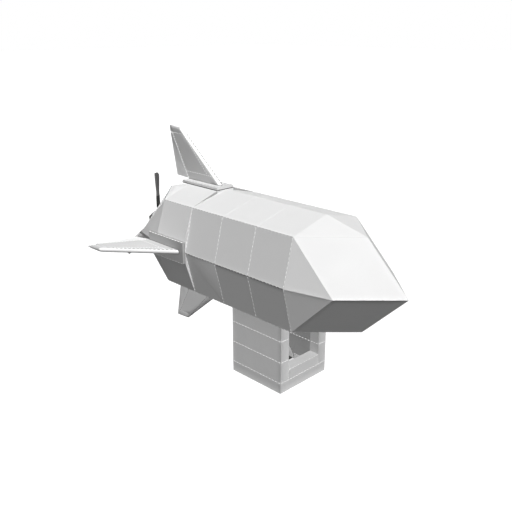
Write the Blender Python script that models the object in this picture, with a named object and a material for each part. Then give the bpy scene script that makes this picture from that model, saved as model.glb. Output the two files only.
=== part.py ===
"""A one-person blimp with a faceted envelope, four swept fins, a pusher propeller and a box gondola.

The nose points along +X, port is +Y and up is +Z. The origin is the centre of the gondola's
underside, the flat face that the blimp stands on when it is parked.
"""

import bmesh
import bpy
from math import atan, cos, pi, radians, sin, sqrt
from mathutils import Vector

# Fit
SEAT_GAP = 0.0003          # between pieces that rest on each other
HINGE_CLEARANCE = 0.006    # between a control surface's nose and the cove it turns in

# Envelope: an octagon across, 5 m over its crests, in bays along a straight centre line
PANEL = 2.0                # half distance between the octagon's corners, and the length of one bay
CREST = 2.5                # distance from the centre line to a crest or to a tail flat
AXIS_HEIGHT = 5.5          # centre line above the gondola's underside
NOSE_RING = 2.5            # where the first bay meets the nose
TAIL_RING = NOSE_RING - 4 * PANEL
TAIL_END = TAIL_RING - PANEL
FLAT_HALF = 0.5            # half width of the flats of the tail bay, which carry the fins

# Fins: x along the blimp, s outwards from the centre line
MOUNT_THICKNESS = 0.125
MOUNT_FRONT = TAIL_RING + PANEL
MOUNT_REAR = TAIL_RING - 0.5
FIN_ROOT = CREST + MOUNT_THICKNESS
FIN_HALF = 0.11            # half thickness
FIN_NOSE = 0.17            # length of the rounded leading edge
LEADING_ROOT = -3.75       # x of the leading edge at the root
LEADING_SEAM = -6.252      # x of the leading edge at the seam under the tip cap
LEADING_TIP = -6.55
LEADING_TIP_S = 4.975
TRAILING_TIP = -7.45
TRAILING_TIP_S = 5.05
TRAILING_SEAM = -7.387     # x of the trailing edge at the seam under the tip cap
TRAILING_ROOT = -6.975
TRAILING_HALF = 0.02       # half thickness of a trailing edge
CAP_SEAM = 4.725           # s of the seam under the tip cap
CAP_SHOULDER = 0.75        # share of the cap's chord where it starts to taper
CAP_SHOULDER_FULLNESS = 0.8
# share of the way from the cap's seam to its tip, share of the thickness left there
CAP_ROUNDING = ((0.0, 1.0), (0.45, 1.0), (0.72, 0.92), (0.90, 0.66), (0.98, 0.36), (1.0, 0.15))
SURFACE_ROOT = 2.65        # s of a control surface's inner end
SURFACE_TIP = CAP_SEAM - 0.03
HINGE_ROOT = (-6.05, 2.635)
HINGE_TIP = (-7.20, 4.725)
SURFACE_SWING = 25.0       # degrees that a control surface turns each way
COVE_LIP = 90.0 - SURFACE_SWING   # degrees from straight ahead to the lips of the cove
COVE_RADIUS = FIN_HALF + HINGE_CLEARANCE
COVE_FACETS = 11
KNUCKLES = (2.95, 3.65, 4.35)   # s of the knuckles that bear in the cove
KNUCKLE_HALF = 0.05
KNUCKLE_RAMP = 0.01

# Propulsion: motor housing, shaft, hub, spinner and three blades on the centre line
MOTOR_LENGTH = 0.80
MOTOR_FRONT_RADIUS = 0.46
MOTOR_REAR_RADIUS = 0.38
MOTOR_RIM = 0.10           # length of the straight stretch at each end
MOTOR_ROUNDING = 0.06
SHAFT_LENGTH = 0.20
SHAFT_RADIUS = 0.09
HUB_LENGTH = 0.45
HUB_APOTHEM = 0.42
HUB_SIDES = 12
SPINNER_LENGTH = 0.65
SPINNER_RADIUS = 0.42
SPINNER_CURVE = 1.25       # 1 would make it a cone, and more makes it fuller
BLADE_ANGLES = (90.0, 210.0, 330.0)
BLADE_TIP = 2.5
BLADE_TWIST_RADIUS = 1.14  # where the blade stands at 45 degrees
# radius from the axis, middle to leading edge, middle to trailing edge, thickness
BLADE_STATIONS = ((HUB_APOTHEM + SEAT_GAP, 0.180, 0.180, 0.15), (0.60, 0.205, 0.205, 0.19),
                  (0.90, 0.203, 0.203, 0.19), (1.20, 0.200, 0.200, 0.18),
                  (1.45, 0.215, 0.215, 0.12), (1.80, 0.243, 0.243, 0.085),
                  (2.10, 0.248, 0.248, 0.07), (2.34, 0.250, 0.250, 0.06),
                  (BLADE_TIP, 0.240, 0.015, 0.04))

# Gondola: a box 3 m long and wide under the envelope, in courses 1 m high
GONDOLA_HALF = 1.5
WALL = 0.5
COURSE = 1.0
CABIN_HALF = GONDOLA_HALF - WALL
KEEL_HEIGHT = AXIS_HEIGHT - CREST
FLANK_SLOPE = (CREST - PANEL) / PANEL

# Pilot's seat
SEAT_FRONT = 0.75
SEAT_REAR = 0.20
SEAT_HALF = 0.30
SEAT_TOP = 0.78
PAN_DEPTH = 0.10
PEDESTAL_REAR = 0.32
PEDESTAL_FRONT = 0.62
PEDESTAL_HALF = 0.18
SEAT_BACK_TOP = 1.72
SEAT_BACK_LEAN = 0.18      # metres aft for each metre up
SEAT_BACK_THICKNESS = 0.08
SEAT_BACK_FOOT = 0.12      # x of the lowest point of the back's rear face
BOLSTER = 0.06
# x and height of a bolster's corners in front of the back, from its foot up
BOLSTER_CORNERS = ((0.66, SEAT_TOP - PAN_DEPTH), (0.66, 0.94), (0.42, 1.26), (0.24, 1.32))
BOLSTER_TOP = 0.08         # how far a bolster's top reaches in front of the back
CUSHION = 0.06
CUSHION_REAR = 0.26
CUSHION_FRONT = 0.66
CUSHION_MARGIN = 0.006     # between the padding and the bolsters
BACK_PAD_LOW = 0.87
BACK_PAD_HIGH = 1.66

# Side console
CONSOLE_REAR = 0.05
CONSOLE_FRONT = 0.75
CONSOLE_SIDE = -0.66       # y of its inboard face
CONSOLE_TOP = 1.10
LEVER_Y = -0.83
LEVER_FOOT = 0.045         # radius
LEVER_ROD = 0.012          # radius
# name, x, height of the lever, radius of the knob
LEVERS = (("steering_stick", 0.58, 0.24, 0.032), ("throttle_lever", 0.34, 0.15, 0.025))


def clear_scene():
    for item in list(bpy.data.objects):
        bpy.data.objects.remove(item, do_unlink=True)


def paint(name, grey, roughness, metallic=0.0):
    """A Principled material of one neutral grey."""
    finish = bpy.data.materials.new(name)
    finish.use_nodes = True
    shader = finish.node_tree.nodes["Principled BSDF"]
    shader.inputs["Base Color"].default_value = (grey, grey, grey, 1.0)
    shader.inputs["Roughness"].default_value = roughness
    shader.inputs["Metallic"].default_value = metallic
    finish.diffuse_color = (grey, grey, grey, 1.0)
    return finish


def place(name, shape, finish, parent=None, location=(0.0, 0.0, 0.0), smooth=None):
    """Turns a bmesh into a named object with its faces pointing outwards."""
    bmesh.ops.recalc_face_normals(shape, faces=shape.faces)
    mesh = bpy.data.meshes.new(name)
    shape.to_mesh(mesh)
    shape.free()
    mesh.materials.append(finish)
    if smooth is not None:
        mesh.shade_smooth()
        mesh.set_sharp_from_angle(angle=radians(smooth))
    item = bpy.data.objects.new(name, mesh)
    item.location = location
    item.parent = parent
    bpy.context.collection.objects.link(item)
    return item


def guide(name, location, tilt=0.0):
    """An empty that carries a group of pieces, turned about the X axis by tilt degrees."""
    empty = bpy.data.objects.new(name, None)
    empty.location = location
    empty.rotation_euler = (radians(tilt), 0.0, 0.0)
    bpy.context.collection.objects.link(empty)
    return empty


def prism(outline, shift):
    """A flat outline of 3-D points, extruded by a shift."""
    shape = bmesh.new()
    face = shape.faces.new([shape.verts.new(point) for point in outline])
    swept = bmesh.ops.extrude_face_region(shape, geom=[face])["geom"]
    moved = [item for item in swept if isinstance(item, bmesh.types.BMVert)]
    bmesh.ops.translate(shape, verts=moved, vec=Vector(shift))
    return shape


def prism_along_x(outline_yz, front, rear):
    return prism([(rear, y, z) for y, z in outline_yz], (front - rear, 0.0, 0.0))


def prism_along_y(outline_xz, low, high):
    return prism([(x, low, z) for x, z in outline_xz], (0.0, high - low, 0.0))


def slab(low, high):
    """A box from its lowest to its highest corner."""
    outline = [(low[1], low[2]), (high[1], low[2]), (high[1], high[2]), (low[1], high[2])]
    return prism_along_x(outline, high[0], low[0])


def loft(rings):
    """A closed solid through rings of equally many points, with flat ends."""
    shape = bmesh.new()
    loops = [[shape.verts.new(point) for point in ring] for ring in rings]
    count = len(loops[0])
    for inner, outer in zip(loops, loops[1:]):
        for i in range(count):
            j = (i + 1) % count
            shape.faces.new((inner[i], inner[j], outer[j], outer[i]))
    shape.faces.new(loops[0])
    shape.faces.new(loops[-1])
    return shape


def turned(profile, sides):
    """A solid of revolution about the X axis, from (x, radius) pairs; a radius of 0 closes a tip."""
    shape = bmesh.new()
    rings = []
    for x, radius in profile:
        if radius == 0.0:
            rings.append([shape.verts.new((x, 0.0, 0.0))])
            continue
        angles = [2.0 * pi * (i + 0.5) / sides for i in range(sides)]
        rings.append([shape.verts.new((x, radius * cos(a), radius * sin(a))) for a in angles])
    for near, far in zip(rings, rings[1:]):
        for i in range(sides):
            j = (i + 1) % sides
            if len(far) == 1:
                shape.faces.new((near[i], near[j], far[0]))
            else:
                shape.faces.new((near[i], near[j], far[j], far[i]))
    for end in (rings[0], rings[-1]):
        if len(end) > 1:
            shape.faces.new(end)
    return shape


def soften(item, width, segments=2):
    """A Bevel modifier that rounds an object's edges."""
    bevel = item.modifiers.new("rounded edges", "BEVEL")
    bevel.width = width
    bevel.segments = segments
    bevel.limit_method = "ANGLE"


def octagon():
    """The front bays' section: four corners and four crests, starboard crest first."""
    return [(-CREST, 0.0), (-PANEL, -PANEL), (0.0, -CREST), (PANEL, -PANEL),
            (CREST, 0.0), (PANEL, PANEL), (0.0, CREST), (-PANEL, PANEL)]


def tail_section():
    """The tail bay's section: the same corners, with a flat in place of each crest."""
    side = [(-CREST, FLAT_HALF), (-CREST, -FLAT_HALF), (-PANEL, -PANEL)]
    points = []
    for _ in range(4):
        points.extend(side)
        side = [(-z, y) for y, z in side]
    return points


def bay(name, section, front, finish, centre):
    """One bay of the envelope, which stops a seat gap short of the next one."""
    rear = front - PANEL + SEAT_GAP
    place(name, prism_along_x(section, front, rear), finish, centre)


def faceted_end(ring_x, reach, tip, finish, name, centre):
    """The nose or the tail cone: eight triangles from the ring's crests to a diamond, and between
    them four rhombi that meet at a tip, or four triangles and a flat end where there is no tip."""
    shape = bmesh.new()
    ring = [shape.verts.new((ring_x, y, z)) for y, z in octagon()]
    diamond = [shape.verts.new((ring_x + reach, y, z))
               for y, z in ((-PANEL, 0.0), (0.0, -PANEL), (PANEL, 0.0), (0.0, PANEL))]
    point = shape.verts.new((ring_x + 2.0 * reach, 0.0, 0.0)) if tip else None
    for i in range(4):
        crest = ring[2 * i]
        corner = ring[2 * i + 1]
        next_crest = ring[(2 * i + 2) % 8]
        near = diamond[i]
        far = diamond[(i + 1) % 4]
        shape.faces.new((crest, corner, near))
        shape.faces.new((corner, next_crest, far))
        shape.faces.new((corner, far, point, near) if tip else (corner, far, near))
    if not tip:
        shape.faces.new(diamond)
    shape.faces.new(ring)
    place(name, shape, finish, centre)


def build_envelope(fabric):
    centre = guide("envelope_centre_line", (0.0, 0.0, AXIS_HEIGHT))
    faceted_end(NOSE_RING + SEAT_GAP, PANEL, True, fabric, "envelope_nose", centre)
    fronts = {"envelope_front_bay": 0, "envelope_middle_bay": 1, "envelope_rear_bay": 2}
    for name, step in fronts.items():
        bay(name, octagon(), NOSE_RING - step * PANEL, fabric, centre)
    bay("envelope_tail_bay", tail_section(), NOSE_RING - 3 * PANEL, fabric, centre)
    faceted_end(TAIL_RING, -PANEL, False, fabric, "envelope_tail_cone", centre)


def hinge_x(s):
    """x of the hinge line at a distance s from the centre line."""
    share = (s - HINGE_ROOT[1]) / (HINGE_TIP[1] - HINGE_ROOT[1])
    return HINGE_ROOT[0] + share * (HINGE_TIP[0] - HINGE_ROOT[0])


def hinge_stretch():
    """How much longer than wide a round hinge is where the fin's ribs cut it."""
    run = HINGE_TIP[0] - HINGE_ROOT[0]
    rise = HINGE_TIP[1] - HINGE_ROOT[1]
    return sqrt(run * run + rise * rise) / rise


def between(low, high, share):
    return low + (high - low) * share


def leading_x(s):
    return between(LEADING_ROOT, LEADING_SEAM, (s - FIN_ROOT) / (CAP_SEAM - FIN_ROOT))


def trailing_x(s):
    return between(TRAILING_ROOT, TRAILING_SEAM, (s - SURFACE_ROOT) / (CAP_SEAM - SURFACE_ROOT))


def round_nose(leading, steps=4):
    """The rounded leading edge, from the port side of the nose to the starboard side."""
    arc = [pi * (i / (2 * steps)) for i in range(2 * steps + 1)]
    return [(leading - FIN_NOSE * (1.0 - sin(a)), FIN_HALF * cos(a)) for a in arc]


def fixed_rib(s):
    """Section of the fixed fin at s: rounded in front, and hollowed behind for the hinge."""
    hinge = hinge_x(s)
    shares = [i / COVE_FACETS for i in range(COVE_FACETS + 1)]
    angles = [radians(between(-COVE_LIP, COVE_LIP, share)) for share in shares]
    cove = [(hinge + COVE_RADIUS * cos(a) * hinge_stretch(), COVE_RADIUS * sin(a))
            for a in angles]
    lip = cove[0][0]
    return round_nose(leading_x(s)) + [(lip, -FIN_HALF)] + cove + [(lip, FIN_HALF)]


def surface_rib(s, bulge):
    """Section of a control surface at s: a round nose about the hinge line, tapering aft."""
    hinge = hinge_x(s)
    nose = []
    for i in range(13):
        angle = radians(90.0 - 15.0 * i)
        radius = FIN_HALF + bulge * cos(angle) ** 2
        nose.append((hinge + radius * cos(angle) * hinge_stretch(), radius * sin(angle)))
    trailing = trailing_x(s)
    return nose + [(trailing, -TRAILING_HALF), (trailing, TRAILING_HALF)]


def cap_rib(reach, fullness):
    """Section of the tip cap at a share of the way to the tip, with a share of its thickness."""
    leading = between(LEADING_SEAM, LEADING_TIP, reach)
    trailing = between(TRAILING_SEAM, TRAILING_TIP, reach)
    shoulder = between(leading, trailing, CAP_SHOULDER)
    side = FIN_HALF * CAP_SHOULDER_FULLNESS
    tail = [(shoulder, -side), (trailing, -TRAILING_HALF), (trailing, TRAILING_HALF),
            (shoulder, side)]
    return [(x, y * fullness) for x, y in round_nose(leading) + tail]


def spread(rib, s, slope=0.0, start=0.0):
    """Lays a section out at s, with s rising by slope for each metre aft of start."""
    return [(x, y, s + slope * (start - x)) for x, y in rib]


def build_fin(side, tilt, surface_name, fabric, metal):
    """One fin: its mount on the tail bay, the fixed part, the tip cap and the control surface."""
    frame = guide(side + "_fin_frame", (0.0, 0.0, AXIS_HEIGHT), tilt)
    mount = slab((MOUNT_REAR, -FLAT_HALF, CREST + SEAT_GAP), (MOUNT_FRONT, FLAT_HALF, FIN_ROOT))
    place(side + "_fin_mount", mount, metal, frame)

    root = FIN_ROOT + SEAT_GAP
    seam = CAP_SEAM - SEAT_GAP
    ribs = [spread(fixed_rib(s), s) for s in (root, seam)]
    place(side + "_fin", loft(ribs), fabric, frame, smooth=40)

    slope = (TRAILING_TIP_S - LEADING_TIP_S) / (LEADING_TIP - TRAILING_TIP)
    ribs = [spread(cap_rib(reach, fullness), between(CAP_SEAM, LEADING_TIP_S, reach),
                   slope * reach, between(LEADING_SEAM, LEADING_TIP, reach))
            for reach, fullness in CAP_ROUNDING]
    place(side + "_fin_cap", loft(ribs), fabric, frame, smooth=40)

    bulge = COVE_RADIUS * cos(radians(COVE_LIP / COVE_FACETS)) - SEAT_GAP - FIN_HALF
    stations = [(SURFACE_ROOT, 0.0)]
    for middle in KNUCKLES:
        stations += [(middle - KNUCKLE_HALF - KNUCKLE_RAMP, 0.0), (middle - KNUCKLE_HALF, bulge),
                     (middle + KNUCKLE_HALF, bulge), (middle + KNUCKLE_HALF + KNUCKLE_RAMP, 0.0)]
    stations += [(SURFACE_TIP, 0.0)]
    foot = Vector((HINGE_ROOT[0], 0.0, HINGE_ROOT[1]))
    ribs = [[Vector(point) - foot for point in spread(surface_rib(s, extra), s)]
            for s, extra in stations]
    place(surface_name, loft(ribs), fabric, frame, location=foot, smooth=40)


def build_fins(fabric, metal):
    # side, tilt about the centre line from straight up, control surface
    fins = (("upper", 0.0, "upper_rudder"),
            ("starboard", 90.0, "starboard_elevator"),
            ("lower", 180.0, "lower_rudder"),
            ("port", 270.0, "port_elevator"))
    for side, tilt, surface_name in fins:
        build_fin(side, tilt, surface_name, fabric, metal)


def blade_pitch(radius):
    """Angle of the chord from the propeller's plane, steeper towards the hub."""
    return atan(BLADE_TWIST_RADIUS / radius)


def blade_ring(radius, lead, trail, thickness):
    """Lens-shaped section of a blade that points straight up, at a radius from the hub's axis.

    lead and trail are the distances from the blade's middle to its edges.
    """
    pitch = blade_pitch(radius)
    along = Vector((sin(pitch), -cos(pitch), 0.0))
    across = Vector((cos(pitch), sin(pitch), 0.0))
    # share of the way to the leading or trailing edge, share of the half thickness
    lens = ((1.0, 0.25), (0.6, 0.8), (0.0, 1.0), (-0.6, 0.8), (-1.0, 0.25),
            (-1.0, -0.25), (-0.6, -0.8), (0.0, -1.0), (0.6, -0.8), (1.0, -0.25))
    return [Vector((0.0, 0.0, radius)) + along * (a * (lead if a > 0.0 else trail))
            + across * (b * thickness / 2) for a, b in lens]


def build_propulsion(housing_paint, metal, dark, black):
    centre = guide("motor_axis", (TAIL_END, 0.0, AXIS_HEIGHT))
    front = -SEAT_GAP
    rear = front - MOTOR_LENGTH
    profile = ((front, MOTOR_FRONT_RADIUS), (front - MOTOR_RIM, MOTOR_FRONT_RADIUS),
               (rear + MOTOR_RIM, MOTOR_REAR_RADIUS), (rear, MOTOR_REAR_RADIUS - MOTOR_ROUNDING))
    place("motor_housing", turned(profile, 20), housing_paint, centre, smooth=40)

    rotor = guide("propeller_axis", (TAIL_END + rear - SEAT_GAP, 0.0, AXIS_HEIGHT))
    hub_front = -SHAFT_LENGTH - SEAT_GAP
    hub_rear = hub_front - HUB_LENGTH
    shaft = turned(((0.0, SHAFT_RADIUS), (-SHAFT_LENGTH, SHAFT_RADIUS)), 16)
    place("propeller_shaft", shaft, metal, rotor, smooth=40)
    rim = HUB_APOTHEM / cos(pi / HUB_SIDES)
    place("propeller_hub", turned(((hub_front, rim), (hub_rear, rim)), HUB_SIDES), dark, rotor)

    spinner_front = hub_rear - SEAT_GAP
    steps = 8
    profile = [(spinner_front - SPINNER_LENGTH * i / steps,
                SPINNER_RADIUS * (1.0 - (i / steps) ** SPINNER_CURVE)) for i in range(steps + 1)]
    place("propeller_spinner", turned(profile, 24), black, rotor, smooth=60)

    for number, angle in enumerate(BLADE_ANGLES, start=1):
        blade = loft([blade_ring(*station) for station in BLADE_STATIONS])
        item = place(f"propeller_blade_{number}", blade, dark, rotor,
                     location=(hub_front - HUB_LENGTH / 2, 0.0, 0.0), smooth=50)
        item.rotation_euler = (radians(angle - 90.0), 0.0, 0.0)


def underside(y):
    """Height of the envelope's underside at a distance y from the keel."""
    return KEEL_HEIGHT + abs(y) * FLANK_SLOPE


def course_heights(number):
    """Bottom and top of a wall course; the third runs up to the envelope and has no flat top."""
    bottom = WALL + (number - 1) * COURSE + SEAT_GAP
    return bottom, bottom + COURSE - SEAT_GAP


def side_wall_outline(sign, number):
    inner = sign * CABIN_HALF
    outer = sign * GONDOLA_HALF
    bottom, top = course_heights(number)
    if number < 3:
        return [(inner, bottom), (outer, bottom), (outer, top), (inner, top)]
    return [(inner, bottom), (outer, bottom),
            (outer, underside(outer) - SEAT_GAP), (inner, underside(inner) - SEAT_GAP)]


def rear_wall_outline(number):
    edge = CABIN_HALF - SEAT_GAP
    bottom, top = course_heights(number)
    if number < 3:
        return [(-edge, bottom), (edge, bottom), (edge, top), (-edge, top)]
    return [(-edge, bottom), (edge, bottom), (edge, underside(edge) - SEAT_GAP),
            (0.0, KEEL_HEIGHT - SEAT_GAP), (-edge, underside(edge) - SEAT_GAP)]


def build_gondola(shell):
    floor = slab((-GONDOLA_HALF, -GONDOLA_HALF, 0.0), (GONDOLA_HALF, GONDOLA_HALF, WALL))
    place("gondola_floor", floor, shell)
    courses = ("lower", "middle", "upper")
    for number, course in enumerate(courses, start=1):
        for sign, side in ((-1, "starboard"), (1, "port")):
            wall = prism_along_x(side_wall_outline(sign, number), GONDOLA_HALF, -GONDOLA_HALF)
            place(f"gondola_{side}_wall_{course}", wall, shell)
        wall = prism_along_x(rear_wall_outline(number), -CABIN_HALF, -GONDOLA_HALF)
        place(f"gondola_rear_wall_{course}", wall, shell)
    edge = CABIN_HALF - SEAT_GAP
    sill = slab((CABIN_HALF, -edge, WALL + SEAT_GAP), (GONDOLA_HALF, edge, 2.0 * WALL))
    place("gondola_window_sill", sill, shell)


def back_front(height, proud=0.0):
    """x of the seat back's front face at a height, or of a layer that stands proud of it."""
    return SEAT_REAR - SEAT_GAP - (height - SEAT_TOP) * SEAT_BACK_LEAN + proud


def build_seat(shell, black):
    """The pilot's bucket seat, in the middle of the cabin behind the window."""
    shell_edge = 0.01
    pad_edge = 0.02
    inner = SEAT_HALF - BOLSTER - SEAT_GAP
    pan_bottom = SEAT_TOP - PAN_DEPTH
    pedestal = slab((PEDESTAL_REAR, -PEDESTAL_HALF, WALL + SEAT_GAP),
                    (PEDESTAL_FRONT, PEDESTAL_HALF, pan_bottom - SEAT_GAP))
    soften(place("seat_pedestal", pedestal, shell), shell_edge)
    pan = slab((SEAT_REAR, -inner, pan_bottom), (SEAT_FRONT, inner, SEAT_TOP))
    soften(place("seat_pan", pan, shell), shell_edge)
    rear_top = (back_front(SEAT_BACK_TOP, -SEAT_BACK_THICKNESS), SEAT_BACK_TOP)
    rear_foot = (SEAT_BACK_FOOT, pan_bottom)
    back_outline = [(back_front(SEAT_TOP), pan_bottom), (back_front(SEAT_TOP), SEAT_TOP),
                    (back_front(SEAT_BACK_TOP), SEAT_BACK_TOP), rear_top, rear_foot]
    back = prism_along_y(back_outline, -inner, inner)
    soften(place("seat_back", back, shell), shell_edge)
    bolster_outline = [*BOLSTER_CORNERS, (back_front(SEAT_BACK_TOP, BOLSTER_TOP), SEAT_BACK_TOP),
                       rear_top, rear_foot]
    for sign, side in ((-1, "starboard"), (1, "port")):
        edges = sorted((sign * (SEAT_HALF - BOLSTER), sign * SEAT_HALF))
        bolster = prism_along_y(bolster_outline, *edges)
        soften(place(f"seat_{side}_bolster", bolster, shell), shell_edge)
    padded = inner - CUSHION_MARGIN
    cushion = slab((CUSHION_REAR, -padded, SEAT_TOP + SEAT_GAP),
                   (CUSHION_FRONT, padded, SEAT_TOP + CUSHION))
    soften(place("seat_cushion", cushion, black), pad_edge)
    pad_outline = [(back_front(height, proud), height)
                   for height, proud in ((BACK_PAD_LOW, SEAT_GAP), (BACK_PAD_LOW, CUSHION),
                                         (BACK_PAD_HIGH, CUSHION), (BACK_PAD_HIGH, SEAT_GAP))]
    pad = prism_along_y(pad_outline, -padded, padded)
    soften(place("seat_back_pad", pad, black), pad_edge)


def build_console(shell, dark):
    """The side console on the starboard wall, with the steering stick and the throttle."""
    console = slab((CONSOLE_REAR, -CABIN_HALF + SEAT_GAP, WALL + SEAT_GAP),
                   (CONSOLE_FRONT, CONSOLE_SIDE, CONSOLE_TOP))
    soften(place("side_console", console, shell), 0.015)
    for name, x, height, knob in LEVERS:
        profile = ((0.0, LEVER_FOOT), (0.02, LEVER_FOOT), (0.03, LEVER_ROD),
                   (height - knob, LEVER_ROD), (height - 0.5 * knob, knob),
                   (height + 0.5 * knob, knob), (height + knob, 0.4 * knob))
        lever = place(name, turned(profile, 14), dark, smooth=40,
                      location=(x, LEVER_Y, CONSOLE_TOP + SEAT_GAP))
        lever.rotation_euler = (0.0, radians(-90.0), 0.0)


def main():
    clear_scene()
    fabric = paint("envelope fabric", 0.80, 0.55)
    fin_fabric = paint("fin fabric", 0.78, 0.55)
    metal = paint("painted metal", 0.74, 0.45)
    steel = paint("bare steel", 0.45, 0.35, 1.0)
    housing = paint("motor housing paint", 0.30, 0.45, 0.2)
    dark = paint("dark composite", 0.10, 0.40)
    black = paint("black composite", 0.02, 0.35)
    build_envelope(fabric)
    build_fins(fin_fabric, metal)
    build_propulsion(housing, steel, dark, black)
    build_gondola(metal)
    build_seat(metal, black)
    build_console(metal, dark)
    bpy.context.view_layer.update()


main()
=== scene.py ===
"""Dresses a packed one-person blimp: fabric, seams, fin and gondola fittings, propeller, padding, studio.

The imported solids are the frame. Every piece made here sits on them and rides on one of their bodies.
Lengths are metres, the nose points along +X, port is +Y and up is +Z. A fin is made as if it stood
upright on the centre line and is then turned into place, and so is a propeller blade.
"""

from math import atan, cos, pi, radians, sin, sqrt

import bmesh
import bpy
from bpy.props import FloatProperty, FloatVectorProperty, PointerProperty
from mathutils import Matrix, Vector
from mathutils.bvhtree import BVHTree


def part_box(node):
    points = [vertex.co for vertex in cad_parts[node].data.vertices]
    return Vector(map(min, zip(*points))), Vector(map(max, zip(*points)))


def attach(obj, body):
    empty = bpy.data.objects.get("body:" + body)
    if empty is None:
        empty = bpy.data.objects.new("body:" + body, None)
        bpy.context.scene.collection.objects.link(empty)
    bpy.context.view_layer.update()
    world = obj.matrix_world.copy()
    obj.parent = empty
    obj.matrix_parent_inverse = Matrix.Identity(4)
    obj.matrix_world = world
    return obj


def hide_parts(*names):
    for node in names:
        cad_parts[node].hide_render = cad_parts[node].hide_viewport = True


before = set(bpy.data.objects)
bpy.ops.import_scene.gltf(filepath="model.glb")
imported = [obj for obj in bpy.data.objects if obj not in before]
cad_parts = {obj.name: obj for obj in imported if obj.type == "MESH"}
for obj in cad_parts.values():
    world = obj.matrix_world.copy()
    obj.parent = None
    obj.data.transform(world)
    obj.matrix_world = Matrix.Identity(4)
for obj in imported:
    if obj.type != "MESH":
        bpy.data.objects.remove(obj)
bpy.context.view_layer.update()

bl_info = {
    "name": "Blimp Dressing",
    "version": (1, 0, 0),
    "blender": (4, 5, 0),
    "location": "3D View > Sidebar > Blimp",
    "description": "Adds fabric, seams, fittings, padding and a studio stage to the packed blimp",
    "category": "Object",
}

SEAT_GAP = 0.0003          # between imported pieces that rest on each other
SINK = 0.0015              # how far a trim piece reaches into what carries it
UP = Vector((0.0, 0.0, 1.0))
DOWN = -UP
AHEAD = Vector((1.0, 0.0, 0.0))
SIDES = (-1.0, 1.0)        # starboard and port, or down and up

# Half width and height of the lengths of cord in each kind of lacing
RING_CORD = (0.014, 0.013)
RIDGE_CORD = (0.014, 0.010)
TAIL_CORD = (0.018, 0.014)
FIN_CORD = (0.017, 0.009)
CAP_CORD = (0.011, 0.008)
MOUNT_CORD = (0.022, 0.016)
FIN_PITCH = 0.13

# Envelope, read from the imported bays
BAY_LOW, BAY_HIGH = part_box("envelope_front_bay")
AXIS_HEIGHT = (BAY_LOW.z + BAY_HIGH.z) / 2
CREST = (BAY_HIGH.z - BAY_LOW.z) / 2
NOSE_RING = BAY_HIGH.x
PANEL = (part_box("envelope_nose")[1].x - NOSE_RING) / 2
TAIL_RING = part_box("envelope_tail_cone")[1].x
TAIL_BAY_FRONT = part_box("envelope_tail_bay")[1].x
KEEL_HEIGHT = BAY_LOW.z
FLANK_SLOPE = (CREST - PANEL) / PANEL
RING_SEAMS = (NOSE_RING, NOSE_RING - PANEL, NOSE_RING - 2.0 * PANEL)

# Fins in their upright frame: x along the blimp, y across, z outwards from the centre line
MOUNT_LOW, MOUNT_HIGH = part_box("upper_fin_mount")
FLAT_HALF = MOUNT_HIGH.y
FIN_ROOT = MOUNT_HIGH.z - AXIS_HEIGHT
FIN_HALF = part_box("upper_fin")[1].y
CAP_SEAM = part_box("upper_fin")[1].z - AXIS_HEIGHT + SEAT_GAP
LEADING_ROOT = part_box("upper_fin")[1].x
LEADING_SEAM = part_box("upper_fin_cap")[1].x
FIN_NOSE = 0.17            # length of the rounded leading edge
COVER_START = 0.5          # angle round the nose where its cover begins
LEADING_TIP = Vector((-6.55, 0.0, 4.975))
TRAILING_TIP = Vector((-7.45, 0.0, 5.05))
TRAILING_SEAM_X = -7.387
SURFACE_ROOT = 2.65
SURFACE_TIP = CAP_SEAM - 0.03
TRAILING_ROOT_X = -6.975
TRAILING_HALF = 0.02
HINGE_ROOT = Vector((-6.05, 0.0, 2.635))
HINGE_TIP = Vector((-7.20, 0.0, 4.725))
HINGE_LIP = 0.056          # from the hinge line forward to the lip of the fixed fin
# share of the way from the cap's seam to its tip, share of its thickness
CAP_ROUNDING = ((0.0, 1.0), (0.45, 1.0), (0.72, 0.92), (0.90, 0.66), (0.98, 0.36))
CAP_SLOPE = (TRAILING_TIP.z - LEADING_TIP.z) / (LEADING_TIP.x - TRAILING_TIP.x)
ROOT_RIB = 2.975           # distance of the root rib's seam from the centre line
SPAR_ROOT = Vector((-4.65, 0.0, 3.025))
SPAR_TIP = Vector((-6.285, 0.0, 4.715))
CONTROL_RIBS = (2.95, 3.65, 4.35)

# side, tilt about the centre line from straight up, control surface, the surface's body, and how
# much darker or lighter the fixed fin, the control surface and the mount are made: painted light
# and shade, standing in for the light each fin gets where it sits
FINS = (("upper", 0.0, "upper_rudder", "rudder_upper", 0.82, 1.08, 1.0),
        ("starboard", 90.0, "starboard_elevator", "elevator_starboard", 0.86, 0.98, 0.60),
        ("lower", 180.0, "lower_rudder", "rudder_lower", 1.14, 1.12, 0.78),
        ("port", 270.0, "port_elevator", "elevator_port", 0.86, 0.98, 0.60))

# Propulsion
HUB_LOW, HUB_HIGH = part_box("propeller_hub")
HUB_X = (HUB_LOW.x + HUB_HIGH.x) / 2
HUB_APOTHEM = 0.42
BLADE_TWIST_RADIUS = 1.14  # where the blade stands at 45 degrees to its plane
BLADE_ANGLES = (90.0, 210.0, 330.0)
MOTOR_LOW, MOTOR_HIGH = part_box("motor_housing")
SPINNER_LOW, SPINNER_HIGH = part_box("propeller_spinner")
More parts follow.
